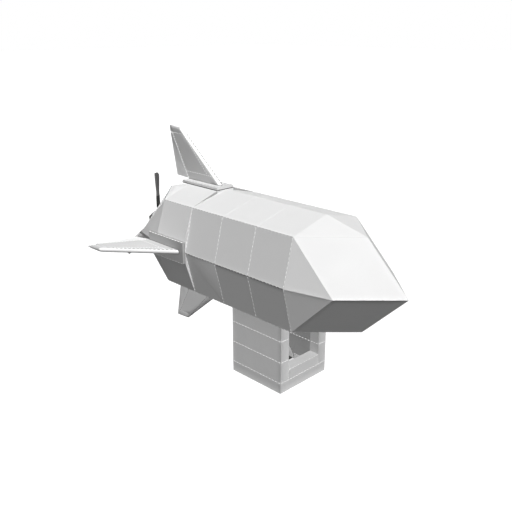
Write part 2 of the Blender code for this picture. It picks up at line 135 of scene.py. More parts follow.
# radius from the axis, middle to leading edge, middle to trailing edge, thickness
BLADE_STATIONS = ((HUB_APOTHEM, 0.180, 0.180, 0.15), (0.60, 0.205, 0.205, 0.19),
                  (0.90, 0.203, 0.203, 0.19), (1.20, 0.200, 0.200, 0.18),
                  (1.45, 0.215, 0.215, 0.12), (1.80, 0.243, 0.243, 0.085),
                  (2.10, 0.248, 0.248, 0.07), (2.34, 0.250, 0.250, 0.06),
                  (2.42, 0.249, 0.170, 0.052), (2.50, 0.240, 0.015, 0.04))
BLADE_TIP = BLADE_STATIONS[-1][0]
SPINNER_CURVE = 1.25       # 1 would make it a cone, and more makes it fuller

# Gondola
_, (GONDOLA_HALF, _, FLOOR_TOP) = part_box("gondola_floor")
CABIN_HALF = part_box("gondola_window_sill")[0].x
SILL_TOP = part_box("gondola_window_sill")[1].z
LINING = 0.003             # thickness of the cabin's lining panels
SCREW_INSET = 0.045        # from a panel's border to its row of screws
COURSE_SEAMS = tuple(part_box(f"gondola_starboard_wall_{course}")[0].z
                     for course in ("lower", "middle", "upper"))


# Settings

def grey(tone):
    return tone, tone, tone


BARE_METAL = grey(0.5)


def grey_property(name, description, tone):
    return FloatVectorProperty(name=name, description=description, subtype="COLOR", size=3,
                               min=0.0, max=1.0, default=grey(tone))


def length_property(name, description, metres):
    return FloatProperty(name=name, description=description, unit="LENGTH", min=0.0,
                         precision=4, default=metres)


class BLIMP_PG_envelope(bpy.types.PropertyGroup):
    fabric: grey_property("Fabric", "Colour of the coated envelope fabric", 0.72)
    ring_lacing: grey_property("Ring lacing", "Colour of the lacing round the envelope", 0.95)
    flank_lacing: grey_property("Flank lacing", "Colour of the lacing at the widest ridges", 0.10)
    ridge_lacing: grey_property("Ridge lacing", "Colour of the lacing along the corners", 0.40)
    tape_half: length_property("Tape half width", "From a seam's middle to its edge", 0.022)
    tape_height: length_property("Tape height", "Thickness of the tape over a seam", 0.0015)
    lacing_pitch: length_property("Lacing pitch", "Distance from one lacing loop to the next", 0.19)
    weave: length_property("Rip-stop pitch", "Distance between the fabric's heavier threads", 0.012)
    # a draw above nought also turns on the fabric's painted highlight beside the ridges
    draw: FloatProperty(name="Draw", description="How far the fabric is drawn up towards its ridges",
                        default=0.62, min=0.0, max=1.0, subtype="FACTOR")


class BLIMP_PG_fins(bpy.types.PropertyGroup):
    fixed: grey_property("Fixed fin", "Colour of the fixed fins' fabric", 0.69)
    control: grey_property("Control surface", "Colour of the rudders' and elevators' fabric", 0.76)
    # the leading edge covers are real parts; their near-white stands in for the light the rounded nose
    # catches, a painted highlight
    leading_edge: grey_property("Leading edge", "Colour of the leading edge covers", 0.94)
    lacing: grey_property("Lacing", "Colour of the lacing along the fins' seams", 0.95)
    # the lower fin's lacing is dark as painted shade, beside the light lacing of the other fins; the
    # leading edge seams' cord is a darker copy of this colour
    dark_lacing: grey_property("Dark lacing", "Colour of the lower fin's lacing", 0.25)
    mount: grey_property("Mount", "Colour of the painted fin mounts", 0.70)
    cover_height: length_property("Cover height", "Thickness of a leading edge cover", 0.003)
    fairing: length_property("Fairing", "How far the leading edge's curve runs aft", 0.34)


class BLIMP_PG_propulsion(bpy.types.PropertyGroup):
    blade: grey_property("Blade", "Colour of the propeller blades", 0.16)
    boot: grey_property("Boot", "Colour of the rubber boots round the blades' inner parts", 0.03)
    strip: grey_property("Edge strip", "Colour of the strips that guard the blades' edges", 0.42)
    spinner: grey_property("Spinner", "Colour of the spinner", 0.012)
    motor: grey_property("Motor", "Colour of the finned motor housing", 0.26)


class BLIMP_PG_gondola(bpy.types.PropertyGroup):
    shell: grey_property("Shell", "Colour of the gondola's paint", 0.75)
    # the lining, the window trim and the floor are darker than the shell as painted shade inside the
    # cabin
    lining: grey_property("Lining", "Colour of the lining panels inside the cabin", 0.30)
    window: grey_property("Window trim", "Colour of the trim on the window's sill and sides", 0.50)
    floor: grey_property("Floor", "Colour of the cabin's non-slip floor", 0.30)
    moulding: grey_property("Moulding", "Colour of the mouldings over the panel joints", 0.95)
    moulding_pitch: length_property("Moulding pitch", "From one length of moulding to the next", 0.19)
    moulding_half: length_property("Moulding half width", "From a moulding's middle to its edge", 0.016)
    moulding_height: length_property("Moulding height", "How far a moulding stands proud", 0.015)
    screw_pitch: length_property("Screw pitch", "Distance between the panel screws", 0.25)


class BLIMP_PG_cabin(bpy.types.PropertyGroup):
    seat_shell: grey_property("Seat shell", "Colour of the moulded seat", 0.66)
    seat_cloth: grey_property("Seat cloth", "Colour of the cushion and back pad", 0.016)
    webbing: grey_property("Webbing", "Colour of the harness", 0.045)
    console: grey_property("Console", "Colour of the side console", 0.30)


class BLIMP_PG_stage(bpy.types.PropertyGroup):
    brightness: FloatProperty(name="Brightness", description="Scales every studio light",
                              default=1.0, min=0.0)
    shadow_share: FloatProperty(name="Shadow share", description="Part of each light that casts shadows",
                                default=0.10, min=0.0, max=1.0, subtype="FACTOR")
    softness: FloatProperty(name="Softness", description="Angle that each light fills in the sky",
                            default=radians(25.0), subtype="ANGLE")
    focal_length: FloatProperty(name="Focal length", description="The camera's focal length",
                                default=45.386, unit="CAMERA")
    azimuth: FloatProperty(name="Azimuth", description="The camera's turn from looking along +Y",
                           default=radians(45.047), subtype="ANGLE")
    elevation: FloatProperty(name="Elevation", description="The camera's height above the horizon",
                             default=radians(19.528), subtype="ANGLE")
    distance: length_property("Distance", "From the camera to the point it looks at", 28.519)


# Shape helpers

def loft(shape, rings):
    """Skins rings of equally many points, with lengths in metres along and around as UVs."""
    layer = shape.loops.layers.uv.verify()
    loops = [[shape.verts.new(point) for point in ring] for ring in rings]
    count = len(loops[0])
    around = [0.0]
    for i in range(count):
        around.append(around[-1] + (Vector(rings[0][(i + 1) % count]) - Vector(rings[0][i])).length)
    along = 0.0
    for near, far in zip(loops, loops[1:]):
        step = sum((b.co - a.co).length for a, b in zip(near, far)) / count
        for i in range(count):
            j = (i + 1) % count
            quad = shape.faces.new((near[i], near[j], far[j], far[i]))
            places = ((along, around[i]), (along, around[i + 1]),
                      (along + step, around[i + 1]), (along + step, around[i]))
            for loop, place in zip(quad.loops, places):
                loop[layer].uv = place
        along += step
    shape.faces.new(loops[0])
    shape.faces.new(loops[-1])


def slab(shape, low, high):
    """A box between two corners."""
    rings = [[(x, low[1], low[2]), (x, high[1], low[2]), (x, high[1], high[2]), (x, low[1], high[2])]
             for x in (low[0], high[0])]
    loft(shape, rings)


def rounded_slab(shape, low, high, radius, segments=3):
    """A box with rounded edges."""
    block = bmesh.new()
    slab(block, low, high)
    bmesh.ops.bevel(block, geom=block.edges[:], offset=radius, segments=segments, affect="EDGES",
                    profile=0.5)
    merge(shape, block)


def merge(shape, other):
    """Moves another bmesh into this one."""
    mesh = bpy.data.meshes.new("merged")
    other.to_mesh(mesh)
    other.free()
    shape.from_mesh(mesh)
    bpy.data.meshes.remove(mesh)


def circle(centre, side, up, radius, sides):
    angles = [2.0 * pi * i / sides for i in range(sides)]
    return [centre + (side * cos(a) + up * sin(a)) * radius for a in angles]


def turned(shape, centre, axis, profile, sides=48):
    """A solid of revolution from (distance along the axis, radius) pairs."""
    axis = Vector(axis).normalized()
    side = axis.orthogonal().normalized()
    up = axis.cross(side)
    loft(shape, [circle(Vector(centre) + axis * along, side, up, radius, sides)
                 for along, radius in profile])


def tube(shape, points, radius, sides=8):
    """A round cord through points, with flat ends."""
    side = None
    rings = []
    for i, point in enumerate(points):
        ahead = (points[min(i + 1, len(points) - 1)] - points[max(i - 1, 0)]).normalized()
        if side is None:
            side = ahead.orthogonal()
        side = (side - ahead * side.dot(ahead)).normalized()
        rings.append(circle(point, side, ahead.cross(side), radius, sides))
    loft(shape, rings)


def stud(shape, seat, axis, radius, height, sides=12):
    """A low domed fastener head on a surface, its axis pointing out of it."""
    profile = ((-SINK, radius), (0.35 * height, radius), (0.85 * height, 0.8 * radius),
               (height, 0.35 * radius))
    turned(shape, seat, axis, profile, sides)


def hex_bolt(shape, seat, axis, radius, height):
    """A hexagon bolt head on a washer."""
    turned(shape, seat, axis, ((-SINK, 1.35 * radius), (0.2 * height, 1.35 * radius)), 20)
    turned(shape, seat, axis, ((0.0, radius), (0.9 * height, radius), (height, 0.88 * radius)), 6)


def row(start, end, pitch, margin=0.0):
    """Evenly spaced points between two ends, no further apart than the pitch."""
    start = Vector(start)
    end = Vector(end)
    run = end - start
    along = run.normalized()
    start = start + along * margin
    length = run.length - 2.0 * margin
    count = max(1, round(length / pitch))
    return [start + along * (length * i / count) for i in range(count + 1)]


def seam(shape, start, end, near, far, inside, profile, crest):
    """A raised strip along an edge, folded over it.

    near and far are points on the two faces beside the edge, and inside is a point behind both.
    profile lists (distance from the edge, height) from the strip's border inwards, and crest is
    the height over the edge itself.
    """
    start = Vector(start)
    end = Vector(end)
    along = (end - start).normalized()
    outwards = (start + end) / 2 - Vector(inside)
    sides = []
    for beside in (near, far):
        flat = Vector(beside) - start
        across = (flat - along * flat.dot(along)).normalized()
        normal = along.cross(across).normalized()
        if normal.dot(outwards) < 0.0:
            normal = -normal
        sides.append((across, normal))
    (left, left_up), (right, right_up) = sides
    ridge = (left_up + right_up) / (1.0 + left_up.dot(right_up))
    section = [left * across + left_up * up for across, up in profile]
    section.append(ridge * crest)
    section += [right * across + right_up * up for across, up in reversed(profile)]
    section.append(ridge * -SINK)
    loft(shape, [[end_point + offset for offset in section] for end_point in (start, end)])


def flat_profile(half, height):
    """A flat strip with a small chamfer, as seam takes it."""
    return [(half, -SINK), (half - height, height)], height


def bead(shape, place, along, up, length, half, height):
    """A low rounded length of cord or moulding on a surface."""
    side = up.cross(along)
    arc = ((1.0, 0.0), (0.81, 0.59), (0.31, 0.95), (-0.31, 0.95), (-0.81, 0.59), (-1.0, 0.0))
    rings = []
    for reach, fullness in ((-1.0, 0.35), (-0.8, 0.9), (0.8, 0.9), (1.0, 0.35)):
        centre = place + along * (0.5 * reach * length)
        ring = [centre + side * (half * a * fullness) + up * (height * b * fullness) for a, b in arc]
        rings.append([ring[0] - up * SINK] + ring + [ring[-1] - up * SINK])
    loft(shape, rings)


def beads(shape, start, end, up, size, pitch, share=0.58):
    """Lengths of cord or moulding in a row, where size is (half width, height)."""
    start = Vector(start)
    along = (Vector(end) - start).normalized()
    up = Vector(up)
    up = (up - along * up.dot(along)).normalized()
    for place in row(start, end, pitch, margin=0.5 * pitch):
        bead(shape, place, along, up, share * pitch, *size)


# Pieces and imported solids

def add_piece(name, build, finish, *sizes, turn=None, body="root", slot=None, smooth=35.0,
              stands_for=None):
    """A piece from a function that builds its shape at some sizes, riding on a body."""
    shape = bmesh.new()
    build(shape, *sizes)
    if turn is not None:
        shape.transform(turn)
    bmesh.ops.recalc_face_normals(shape, faces=shape.faces)
    mesh = bpy.data.meshes.new(name)
    shape.to_mesh(mesh)
    shape.free()
    mesh.materials.append(finish)
    mesh.shade_smooth()
    mesh.set_sharp_from_angle(angle=radians(smooth))
    piece = bpy.data.objects.new(name, mesh)
    bpy.context.scene.collection.objects.link(piece)
    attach(piece, body)
    if stands_for:
        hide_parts(stands_for)
    return piece


def dress(nodes, finish, edge=0.0):
    """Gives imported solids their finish, and rounds their edges."""
    for name in nodes:
        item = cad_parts[name]
        for material_slot in item.material_slots:
            material_slot.material = finish
        if edge > 0.0:
            weld = item.modifiers.new("joined corners", "WELD")
            weld.merge_threshold = 0.0001
            bevel = item.modifiers.new("rounded edges", "BEVEL")
            bevel.width = edge
            bevel.segments = 2
            bevel.limit_method = "ANGLE"
            bevel.angle_limit = radians(20.0)
            bevel.harden_normals = True


# Node helpers

class Value:
    """A number, vector or colour in a node tree, which sums can be written with."""

    def __init__(self, tree, socket):
        self.tree = tree
        self.socket = socket

    def math(self, operation, other=0.0, clamp=False):
        return add_node(self.tree, "ShaderNodeMath", {0: self, 1: other}, operation=operation,
                        use_clamp=clamp)

    def vector(self, operation, other=(0.0, 0.0, 0.0), output=0):
        return add_node(self.tree, "ShaderNodeVectorMath", {0: self, 1: other}, output,
                        operation=operation)

    def scaled(self, amount):
        return add_node(self.tree, "ShaderNodeVectorMath", {0: self, "Scale": amount},
                        operation="SCALE")

    def parts(self):
        """The vector's X, Y and Z."""
        x = add_node(self.tree, "ShaderNodeSeparateXYZ", {0: self})
        return x, x.beside(1), x.beside(2)

    def beside(self, output):
        """Another output of the node that this value comes from."""
        return Value(self.tree, self.socket.node.outputs[output])

    def __add__(self, other):
        return self.math("ADD", other)

    def __sub__(self, other):
        return self.math("SUBTRACT", other)

    def __rsub__(self, number):
        return add_node(self.tree, "ShaderNodeMath", {0: number, 1: self}, operation="SUBTRACT")

    def __mul__(self, other):
        return self.math("MULTIPLY", other)

    def __truediv__(self, other):
        return self.math("DIVIDE", other)

    def __rtruediv__(self, number):
        return add_node(self.tree, "ShaderNodeMath", {0: number, 1: self}, operation="DIVIDE")

    def __abs__(self):
        return self.math("ABSOLUTE")

    def __lt__(self, other):
        return self.math("LESS_THAN", other)

    def __gt__(self, other):
        return self.math("GREATER_THAN", other)


def add_node(tree, kind, inputs, output=0, **settings):
    """The output of a new node, where an input is a Value to link or a plain value."""
    made = tree.nodes.new(kind)
    for key, value in settings.items():
        setattr(made, key, value)
    for key, value in inputs.items():
        if isinstance(value, Value):
            tree.links.new(value.socket, made.inputs[key])
        else:
            made.inputs[key].default_value = value
    return Value(tree, made.outputs[output])


def remap(value, low, high, to_low=0.0, to_high=1.0):
    """Maps a range smoothly onto another."""
    inputs = {0: value, 1: low, 2: high, 3: to_low, 4: to_high}
    return add_node(value.tree, "ShaderNodeMapRange", inputs, interpolation_type="SMOOTHSTEP")


def noise(place, scale, detail, roughness=0.5):
    inputs = {"Vector": place, "Scale": scale, "Detail": detail, "Roughness": roughness}
    return add_node(place.tree, "ShaderNodeTexNoise", inputs)


def flat_normal(tree):
    return add_node(tree, "ShaderNodeNewGeometry", {}, "Normal")


def rounded_normal(tree, radius, samples):
    """The normal with every edge rounded to a radius."""
    return add_node(tree, "ShaderNodeBevel", {"Radius": radius}, samples=samples)


# Shared effects

def rip_stop_weave(tree, place, pitch):
    """Fine cloth with heavier threads in a grid that follows all three axes."""
    total = 0.0
    for axis in place.parts():
        turn = axis / pitch
        heavy = abs((turn * pi).math("COSINE")).math("POWER", 40.0)
        fine = abs((turn * (8.0 * pi)).math("SINE"))
        total = heavy + fine * 0.25 + total
    return total / 3.0


def tone_drift(tree, place, size):
    """Slow change of tone over a large surface."""
    return remap(noise(place, 1.0 / size, 3.0, 0.55), 0.3, 0.7)


def worn_edge(tree, place, width, wear):
    """Share of bare or faded finish along the edges of a solid."""
    rounded = rounded_normal(tree, width, 4)
    agree = rounded.vector("DOT_PRODUCT", flat_normal(tree), output="Value")
    return remap(1.0 - agree, 0.005, 0.12) * remap(noise(place, 18.0, 4.0) + wear, 0.75, 1.05)


def settled_dust(tree, place, patch):
    """Dust that settles where a surface faces up."""
    faces_up = remap(flat_normal(tree).parts()[2], 0.2, 1.0)
    return faces_up * remap(noise(place, 1.0 / patch, 5.0, 0.65), 0.45, 0.8)


def rain_streaks(tree, place, width):
    """Faint marks that rain leaves down a wall or a flank."""
    stretched = place.vector("MULTIPLY", (1.0, 1.0, 0.06))
    marks = remap(noise(stretched, 1.0 / width, 3.0, 0.6), 0.5, 0.78)
    return marks * remap(noise(place, 0.9, 2.0), 0.42, 0.68)


def ridge_draw_and_highlight(tree, axes, radius, share, highest):
    """Fabric drawn up towards a hull's lower ridges, and a painted highlight beside the ridges of faces
    that look up.
    """
    rounded = rounded_normal(tree, radius, 8)
    flat = flat_normal(tree)
    facing = flat.parts()[2]
    turn = flat.vector("SUBTRACT", rounded)
    _, across, up = turn.parts()
    low_ridge = remap(rounded.parts()[2], highest, highest - 0.2)
    # painted highlight: how much lighter the cloth is made beside a ridge, only on faces that look up
    painted_highlight = (abs(up) * low_ridge + abs(across)) * remap(facing, 0.3, 0.5)
    lifted = (facing < -0.1) * (up > 0.0)
    amount = share * low_ridge.math("SUBTRACT", lifted, clamp=True)
    drawn = flat.vector("ADD", turn.vector("MULTIPLY", axes).scaled(amount))
    return painted_highlight, drawn.vector("NORMALIZE")


def fairing(tree, radius):
    """Rounds the normal towards an edge that leads, along +X."""
    flat = flat_normal(tree)
    turn = rounded_normal(tree, radius, 8).vector("SUBTRACT", flat)
    return flat.vector("ADD", turn.scaled(turn.parts()[0] > 0.0))


def seam_pucker(tree, place, spacing, start, reach, depth):
    """Shallow gathers in a fabric panel beside the ring seams, in metres of height."""
    turn = (place.parts()[0] - start) / spacing
    away = abs(turn - turn.math("ROUND")) * spacing / reach
    gathers = noise(place.vector("MULTIPLY", (0.25, 1.0, 1.0)), 9.0, 1.0)
    return gathers * remap(away, 1.0, 0.0) * depth


def stitch_rows(tree, run, pitch, row_offset, middle, thread):
    """Two rows of stitches along a strip, from its lengthwise UVs."""
    along, around, _ = run.parts()
    dash = remap(abs((along / pitch).math("FRACT") - 0.5), 0.42, 0.34)
    miss = abs(abs(around - middle) - row_offset)
    return dash * remap(miss / thread, 1.0, 0.4)


def orange_peel(tree, place, size):
    """The fine roll of sprayed paint."""
    return noise(place, 1.0 / size, 2.0)


def carbon_twill(tree, place, tow):
    """Carbon cloth: strips that pass over and under each other on the diagonal."""
    x, y, z = place.parts()
    along = (x + y) / tow
    up = z / tow
    over = abs(along.math("FLOOR") + up.math("FLOOR")).math("MODULO", 4.0) > 1.5
    bow_along, bow_up = (abs((turn * pi).math("SINE")) for turn in (along, up))
    return add_node(tree, "ShaderNodeMix", {0: over, 2: bow_along, 3: bow_up})


def plain_weave(tree, place, thread):
    """Upholstery cloth from crossed round threads, in the object's own axes."""
    x, y, z = ((axis / thread * pi).math("SINE") for axis in place.parts())
    return (x * y + y * z + x * z) * 0.3 + 0.5


# name: what makes it, its inputs with their defaults, where None is a vector, and its outputs
SHARED_EFFECTS = {
    "rip stop weave": (rip_stop_weave, {"Place": None, "Pitch": 0.01}, ("Height",)),
    "tone drift": (tone_drift, {"Place": None, "Size": 1.0}, ("Share",)),
    "worn edge": (worn_edge, {"Place": None, "Width": 0.01, "Wear": 0.5}, ("Share",)),
    "settled dust": (settled_dust, {"Place": None, "Patch": 0.5}, ("Share",)),
    "rain streaks": (rain_streaks, {"Place": None, "Width": 0.03}, ("Share",)),
    "ridge draw and painted highlight": (ridge_draw_and_highlight, {"Axes": None, "Radius": 0.4, "Share": 0.4, "Highest": 0.4},
                   ("Fade", "Normal")),
    "fairing": (fairing, {"Radius": 0.1}, ("Normal",)),
    "seam pucker": (seam_pucker, {"Place": None, "Spacing": 2.0, "Start": 0.0, "Reach": 0.22,
                                  "Depth": 0.002}, ("Height",)),
    "stitch rows": (stitch_rows, {"Run": None, "Pitch": 0.014, "Row": 0.02, "Middle": 0.0,
                                  "Thread": 0.0018}, ("Share",)),
    "orange peel": (orange_peel, {"Place": None, "Size": 0.006}, ("Height",)),
    "carbon twill": (carbon_twill, {"Place": None, "Tow": 0.008}, ("Share",)),
    "plain weave": (plain_weave, {"Place": None, "Thread": 0.0018}, ("Height",)),
}


def build_effects():
    """Makes the node group of every shared effect."""
    for name, (make, inputs, outputs) in SHARED_EFFECTS.items():
        tree = bpy.data.node_groups.new(name, "ShaderNodeTree")
        for label, default in inputs.items():
            kind = "NodeSocketVector" if default is None else "NodeSocketFloat"
            socket = tree.interface.new_socket(label, in_out="INPUT", socket_type=kind)
            if default is not None:
                socket.default_value = default
        for label in outputs:
            kind = "NodeSocketVector" if label == "Normal" else "NodeSocketFloat"
            tree.interface.new_socket(label, in_out="OUTPUT", socket_type=kind)
        taken = tree.nodes.new("NodeGroupInput")
        given = tree.nodes.new("NodeGroupOutput")
        results = make(tree, *(Value(tree, taken.outputs[label]) for label in inputs))
        results = (results,) if len(outputs) == 1 else results
        for label, result in zip(outputs, results):
            tree.links.new(result.socket, given.inputs[label])


# Finishes

class Finish:
    """One material in the making: its tree, its shader and the place on the object."""

    def __init__(self, name, roughness, metallic=0.0, **sockets):
        self.material = bpy.data.materials.new(name)
        self.material.use_nodes = True
        self.tree = self.material.node_tree
        self.shader = self.tree.nodes["Principled BSDF"]
        sockets = {"Roughness": roughness, "Metallic": metallic, **sockets}
        for socket, value in sockets.items():
            self.shader.inputs[socket.replace("_", " ")].default_value = value
        self.run = add_node(self.tree, "ShaderNodeTexCoord", {}, "UV")
        self.place = self.run.beside("Object")

    def effect(self, name, **inputs):
        """The first output of a shared effect at this material's own values."""
        if "Place" in SHARED_EFFECTS[name][1]:
            inputs["Place"] = self.place
        return add_node(self.tree, "ShaderNodeGroup", inputs, node_tree=bpy.data.node_groups[name])

    def link(self, value, socket):
        self.tree.links.new(value.socket, self.shader.inputs[socket])

    def colour(self, start, *layers):
        """Base colour: a start, then (share, most of it, colour) layers over it."""
        result = (*start, 1.0)
        for share, most, colour in layers:
            inputs = {0: share * most, 6: result, 7: (*colour, 1.0)}
            result = add_node(self.tree, "ShaderNodeMix", inputs, 2, data_type="RGBA")
        self.link(result, "Base Color")

    def roughness(self, share, low, high):
        self.link(remap(share, 0.0, 1.0, low, high), "Roughness")

    def relief(self, *layers, base=None):
        """Bump from (height, metres) layers, over a base normal where there is one."""
        total = 0.0
        for height, metres in layers:
            total = height * metres + total
        inputs = {"Height": total, "Distance": 1.0}
        if base is not None:
            inputs["Normal"] = base
        self.link(add_node(self.tree, "ShaderNodeBump", inputs), "Normal")


def shade(colour, factor):
    return tuple(min(1.0, part * factor) for part in colour)


def coated_fabric(name, colour, weave, draw=0.0, fairing_reach=0.0):
    """Rip-stop cloth with a satin coating; where it is drawn it is gathered beside ring seams and made
    lighter beside its ridges as a painted highlight.
    """
    finish = Finish(name, 0.6, Specular_IOR_Level=0.25, Sheen_Weight=0.05, Sheen_Roughness=0.5)
    drift = finish.effect("tone drift", Size=1.6)
    dust = finish.effect("settled dust", Patch=0.7)
    streaks = finish.effect("rain streaks", Width=0.05)
    tones = [(drift, 0.5, shade(colour, 0.975)), (streaks, 0.5, shade(colour, 0.95)),
             (dust, 0.35, shade(colour, 0.95))]
    finish.roughness(drift, 0.55, 0.67)
    layers = [(finish.effect("rip stop weave", Pitch=weave), 0.0002)]
    base = None
    if draw > 0.0:
        layers.append((finish.effect("seam pucker", Spacing=PANEL, Start=NOSE_RING), 1.0))
        painted_highlight = finish.effect("ridge draw and painted highlight", Axes=(0.0, 1.0, 1.0), Radius=0.42, Share=draw)
        # painted highlight: the cloth made lighter beside the ridges of faces that look up
        tones.append((painted_highlight, 0.5, shade(colour, 1.25)))
        base = painted_highlight.beside("Normal")
    elif fairing_reach > 0.0:
        base = finish.effect("fairing", Radius=fairing_reach)
    finish.colour(colour, *tones)
    finish.relief(*layers, base=base)
    return finish.material


def seam_tape(name, colour, half):
    """Bonded tape with two rows of stitches."""
    finish = Finish(name, 0.5, Specular_IOR_Level=0.25, Sheen_Weight=0.05)
    drift = finish.effect("tone drift", Size=0.3)
    stitches = finish.effect("stitch rows", Run=finish.run, Row=0.62 * half, Middle=half)
    finish.colour(colour, (drift, 0.5, shade(colour, 0.96)), (stitches, 0.6, shade(colour, 0.85)))
    finish.roughness(drift, 0.45, 0.6)
    finish.relief((stitches, 0.0006))
    return finish.material


def cord(name, colour):
    """Braided lacing cord."""
    finish = Finish(name, 0.65, Specular_IOR_Level=0.25, Sheen_Weight=0.05)
    threads = finish.effect("plain weave", Thread=0.003)
    drift = finish.effect("tone drift", Size=0.5)
    finish.colour(colour, (threads, 0.4, shade(colour, 0.9)), (drift, 0.4, shade(colour, 0.94)))
    finish.relief((threads, 0.0005))
    return finish.material


def sprayed_paint(name, colour, bare, roughness=0.42, wear=0.35, metallic_wear=False, draw=None):
    """Satin paint with orange peel, worn edges, faint streaks and settled dust."""
    finish = Finish(name, roughness, Coat_Weight=0.12, Coat_Roughness=0.3)
    drift = finish.effect("tone drift", Size=0.8)
    worn = finish.effect("worn edge", Width=0.012, Wear=wear)
    streaks = finish.effect("rain streaks", Width=0.035)
    dust = finish.effect("settled dust", Patch=0.35)
    finish.colour(colour, (drift, 0.5, shade(colour, 0.95)), (streaks, 0.45, shade(colour, 0.88)),
                  (dust, 0.35, shade(colour, 0.85)), (worn, 0.7, bare))
    finish.roughness(drift, roughness - 0.05, roughness + 0.1)
    if metallic_wear:
        finish.link(worn * 0.6, "Metallic")
    base = None
    if draw:
        axes, share = draw
        base = finish.effect("ridge draw and painted highlight", Axes=axes, Share=share).beside("Normal")
    finish.relief((finish.effect("orange peel"), 0.00004), (worn, -0.0002), base=base)
    return finish.material


def carbon_composite(name, colour, roughness=0.34):
    """Clear-coated carbon cloth, dulled by weather."""
    finish = Finish(name, roughness, Coat_Weight=0.25, Coat_Roughness=0.2)
    twill = finish.effect("carbon twill")
    drift = finish.effect("tone drift", Size=0.4)
    finish.colour(shade(colour, 0.86), (twill, 0.9, shade(colour, 1.18)),
                  (drift, 0.4, shade(colour, 0.9)))
    finish.roughness(drift, roughness - 0.06, roughness + 0.1)
    finish.relief((twill, 0.00015))
    return finish.material


def rubber(name, colour, roughness=0.7):
    """Moulded rubber with a fine grain."""
    finish = Finish(name, roughness)
    drift = finish.effect("tone drift", Size=0.1)
    finish.colour(colour, (drift, 0.5, shade(colour, 1.35)))
    finish.roughness(drift, roughness - 0.08, roughness + 0.08)
    finish.relief((finish.effect("orange peel", Size=0.0025), 0.0001))
    return finish.material


def turned_steel(name, tone, roughness=0.3):
    """Steel or aluminium with fine machining marks."""
    finish = Finish(name, roughness, metallic=1.0)
    drift = finish.effect("tone drift", Size=0.02)
    finish.colour(grey(tone), (drift, 0.6, grey(0.8 * tone)))
    finish.roughness(drift, roughness - 0.08, roughness + 0.12)
    finish.relief((finish.effect("orange peel", Size=0.0012), 0.00003))
    return finish.material


def moulded_plastic(name, colour, roughness=0.5):
    """Moulded plastic with a leather-like grain and scuffed edges."""
    finish = Finish(name, roughness)
    grain = finish.effect("orange peel", Size=0.003)
    worn = finish.effect("worn edge", Width=0.005, Wear=0.4)
    drift = finish.effect("tone drift", Size=0.25)
    finish.colour(colour, (drift, 0.5, shade(colour, 0.93)), (worn, 0.5, shade(colour, 1.25)))
    finish.roughness(grain, roughness - 0.06, roughness + 0.1)
    finish.relief((grain, 0.00012))
    return finish.material


def upholstery(name, colour):
    """Black seat cloth."""
    finish = Finish(name, 0.85, Sheen_Weight=0.25, Sheen_Roughness=0.4)
    threads = finish.effect("plain weave")
    drift = finish.effect("tone drift", Size=0.12)
    finish.colour(shade(colour, 0.75), (threads, 0.8, shade(colour, 1.7)),
                  (drift, 0.4, shade(colour, 1.4)))
    finish.relief((threads, 0.0006))
    return finish.material


def webbing(name, colour):
    """Ribbed harness webbing."""
    finish = Finish(name, 0.6, Sheen_Weight=0.15)
    ribs = finish.effect("plain weave", Thread=0.0025)
    finish.colour(shade(colour, 0.8), (ribs, 0.8, shade(colour, 1.5)))
    finish.relief((ribs, 0.0005))
    return finish.material


# Envelope

def octagon():
    """The front bays' section: crests and corners in turn, from the starboard crest."""
    return [(-CREST, 0.0), (-PANEL, -PANEL), (0.0, -CREST), (PANEL, -PANEL),
            (CREST, 0.0), (PANEL, PANEL), (0.0, CREST), (-PANEL, PANEL)]


def tail_section():
    """The tail bay's section: the same corners, with a flat in place of each crest."""
    side = [(-CREST, FLAT_HALF), (-CREST, -FLAT_HALF), (-PANEL, -PANEL)]
    points = []
    for _ in range(4):
        points.extend(side)
        side = [(-z, y) for y, z in side]
    return points


def hull_ring(x, section):
    return [Vector((x, y, AXIS_HEIGHT + z)) for y, z in section]


def ring_seam(shape, x, section, profile, crest, cone=None):
    """A seam round the envelope. cone gives, for each side, a point on the face in front of it."""
    points = hull_ring(x, section)
    inside = Vector((x, 0.0, AXIS_HEIGHT))
    ahead = AHEAD * PANEL
    for i, point in enumerate(points):
        following = points[(i + 1) % len(points)]
        front = cone[i] if cone else point + ahead
        seam(shape, point, following, front, point - ahead, inside, profile, crest)


def hull_side(points, i):
    """A side of a ring of points: its two ends and its outward normal."""
    start = points[i]
    end = points[(i + 1) % len(points)]
    normal = (end - start).cross(AHEAD).normalized()
    outwards = (start + end) / 2 - Vector((start.x, 0.0, AXIS_HEIGHT))
    return start, end, normal if normal.dot(outwards) > 0.0 else -normal


def ring_lacing(shape, x, pitch, ways):
    """Lacing round the envelope on the octagon's sides that face up (1), out (0) or down (-1)."""
    points = hull_ring(x, octagon())
    for i in range(len(points)):
        start, end, up = hull_side(points, i)
        steep = 1 if up.z > 0.5 else -1 if up.z < -0.5 else 0
        if steep in ways:
            beads(shape, start, end, up, RING_CORD, pitch)


def ridge_lacing(shape, front, rear, section, pitch, crests):
    """Lacing along a bay's widest ridges, or along its corners."""
    points = hull_ring(front, section)
    back = AHEAD * (rear - front)
    for i, point in enumerate(points):
        at_corner = abs(abs(section[i][0]) - abs(section[i][1])) < SINK
        at_crest = abs(section[i][1]) < SINK
        if (at_crest if crests else at_corner):
            up = hull_side(points, i)[2] + hull_side(points, (i - 1) % len(points))[2]
            beads(shape, point, point + back, up, RIDGE_CORD, pitch, share=0.66)


def tail_ridge_lacing(shape, pitch):
    """Lacing along the tail cone's ridges that run in to the middle from its upper and lower corners."""
    for way in SIDES:
        for side in SIDES:
            corner = Vector((TAIL_RING, side * PANEL, AXIS_HEIGHT + way * PANEL))
            middle = Vector((TAIL_RING - PANEL, 0.0, AXIS_HEIGHT + way * PANEL))
            up = Vector((-0.5, 0.5 * side, way))
            beads(shape, corner, middle, up, TAIL_CORD, pitch, share=0.7)


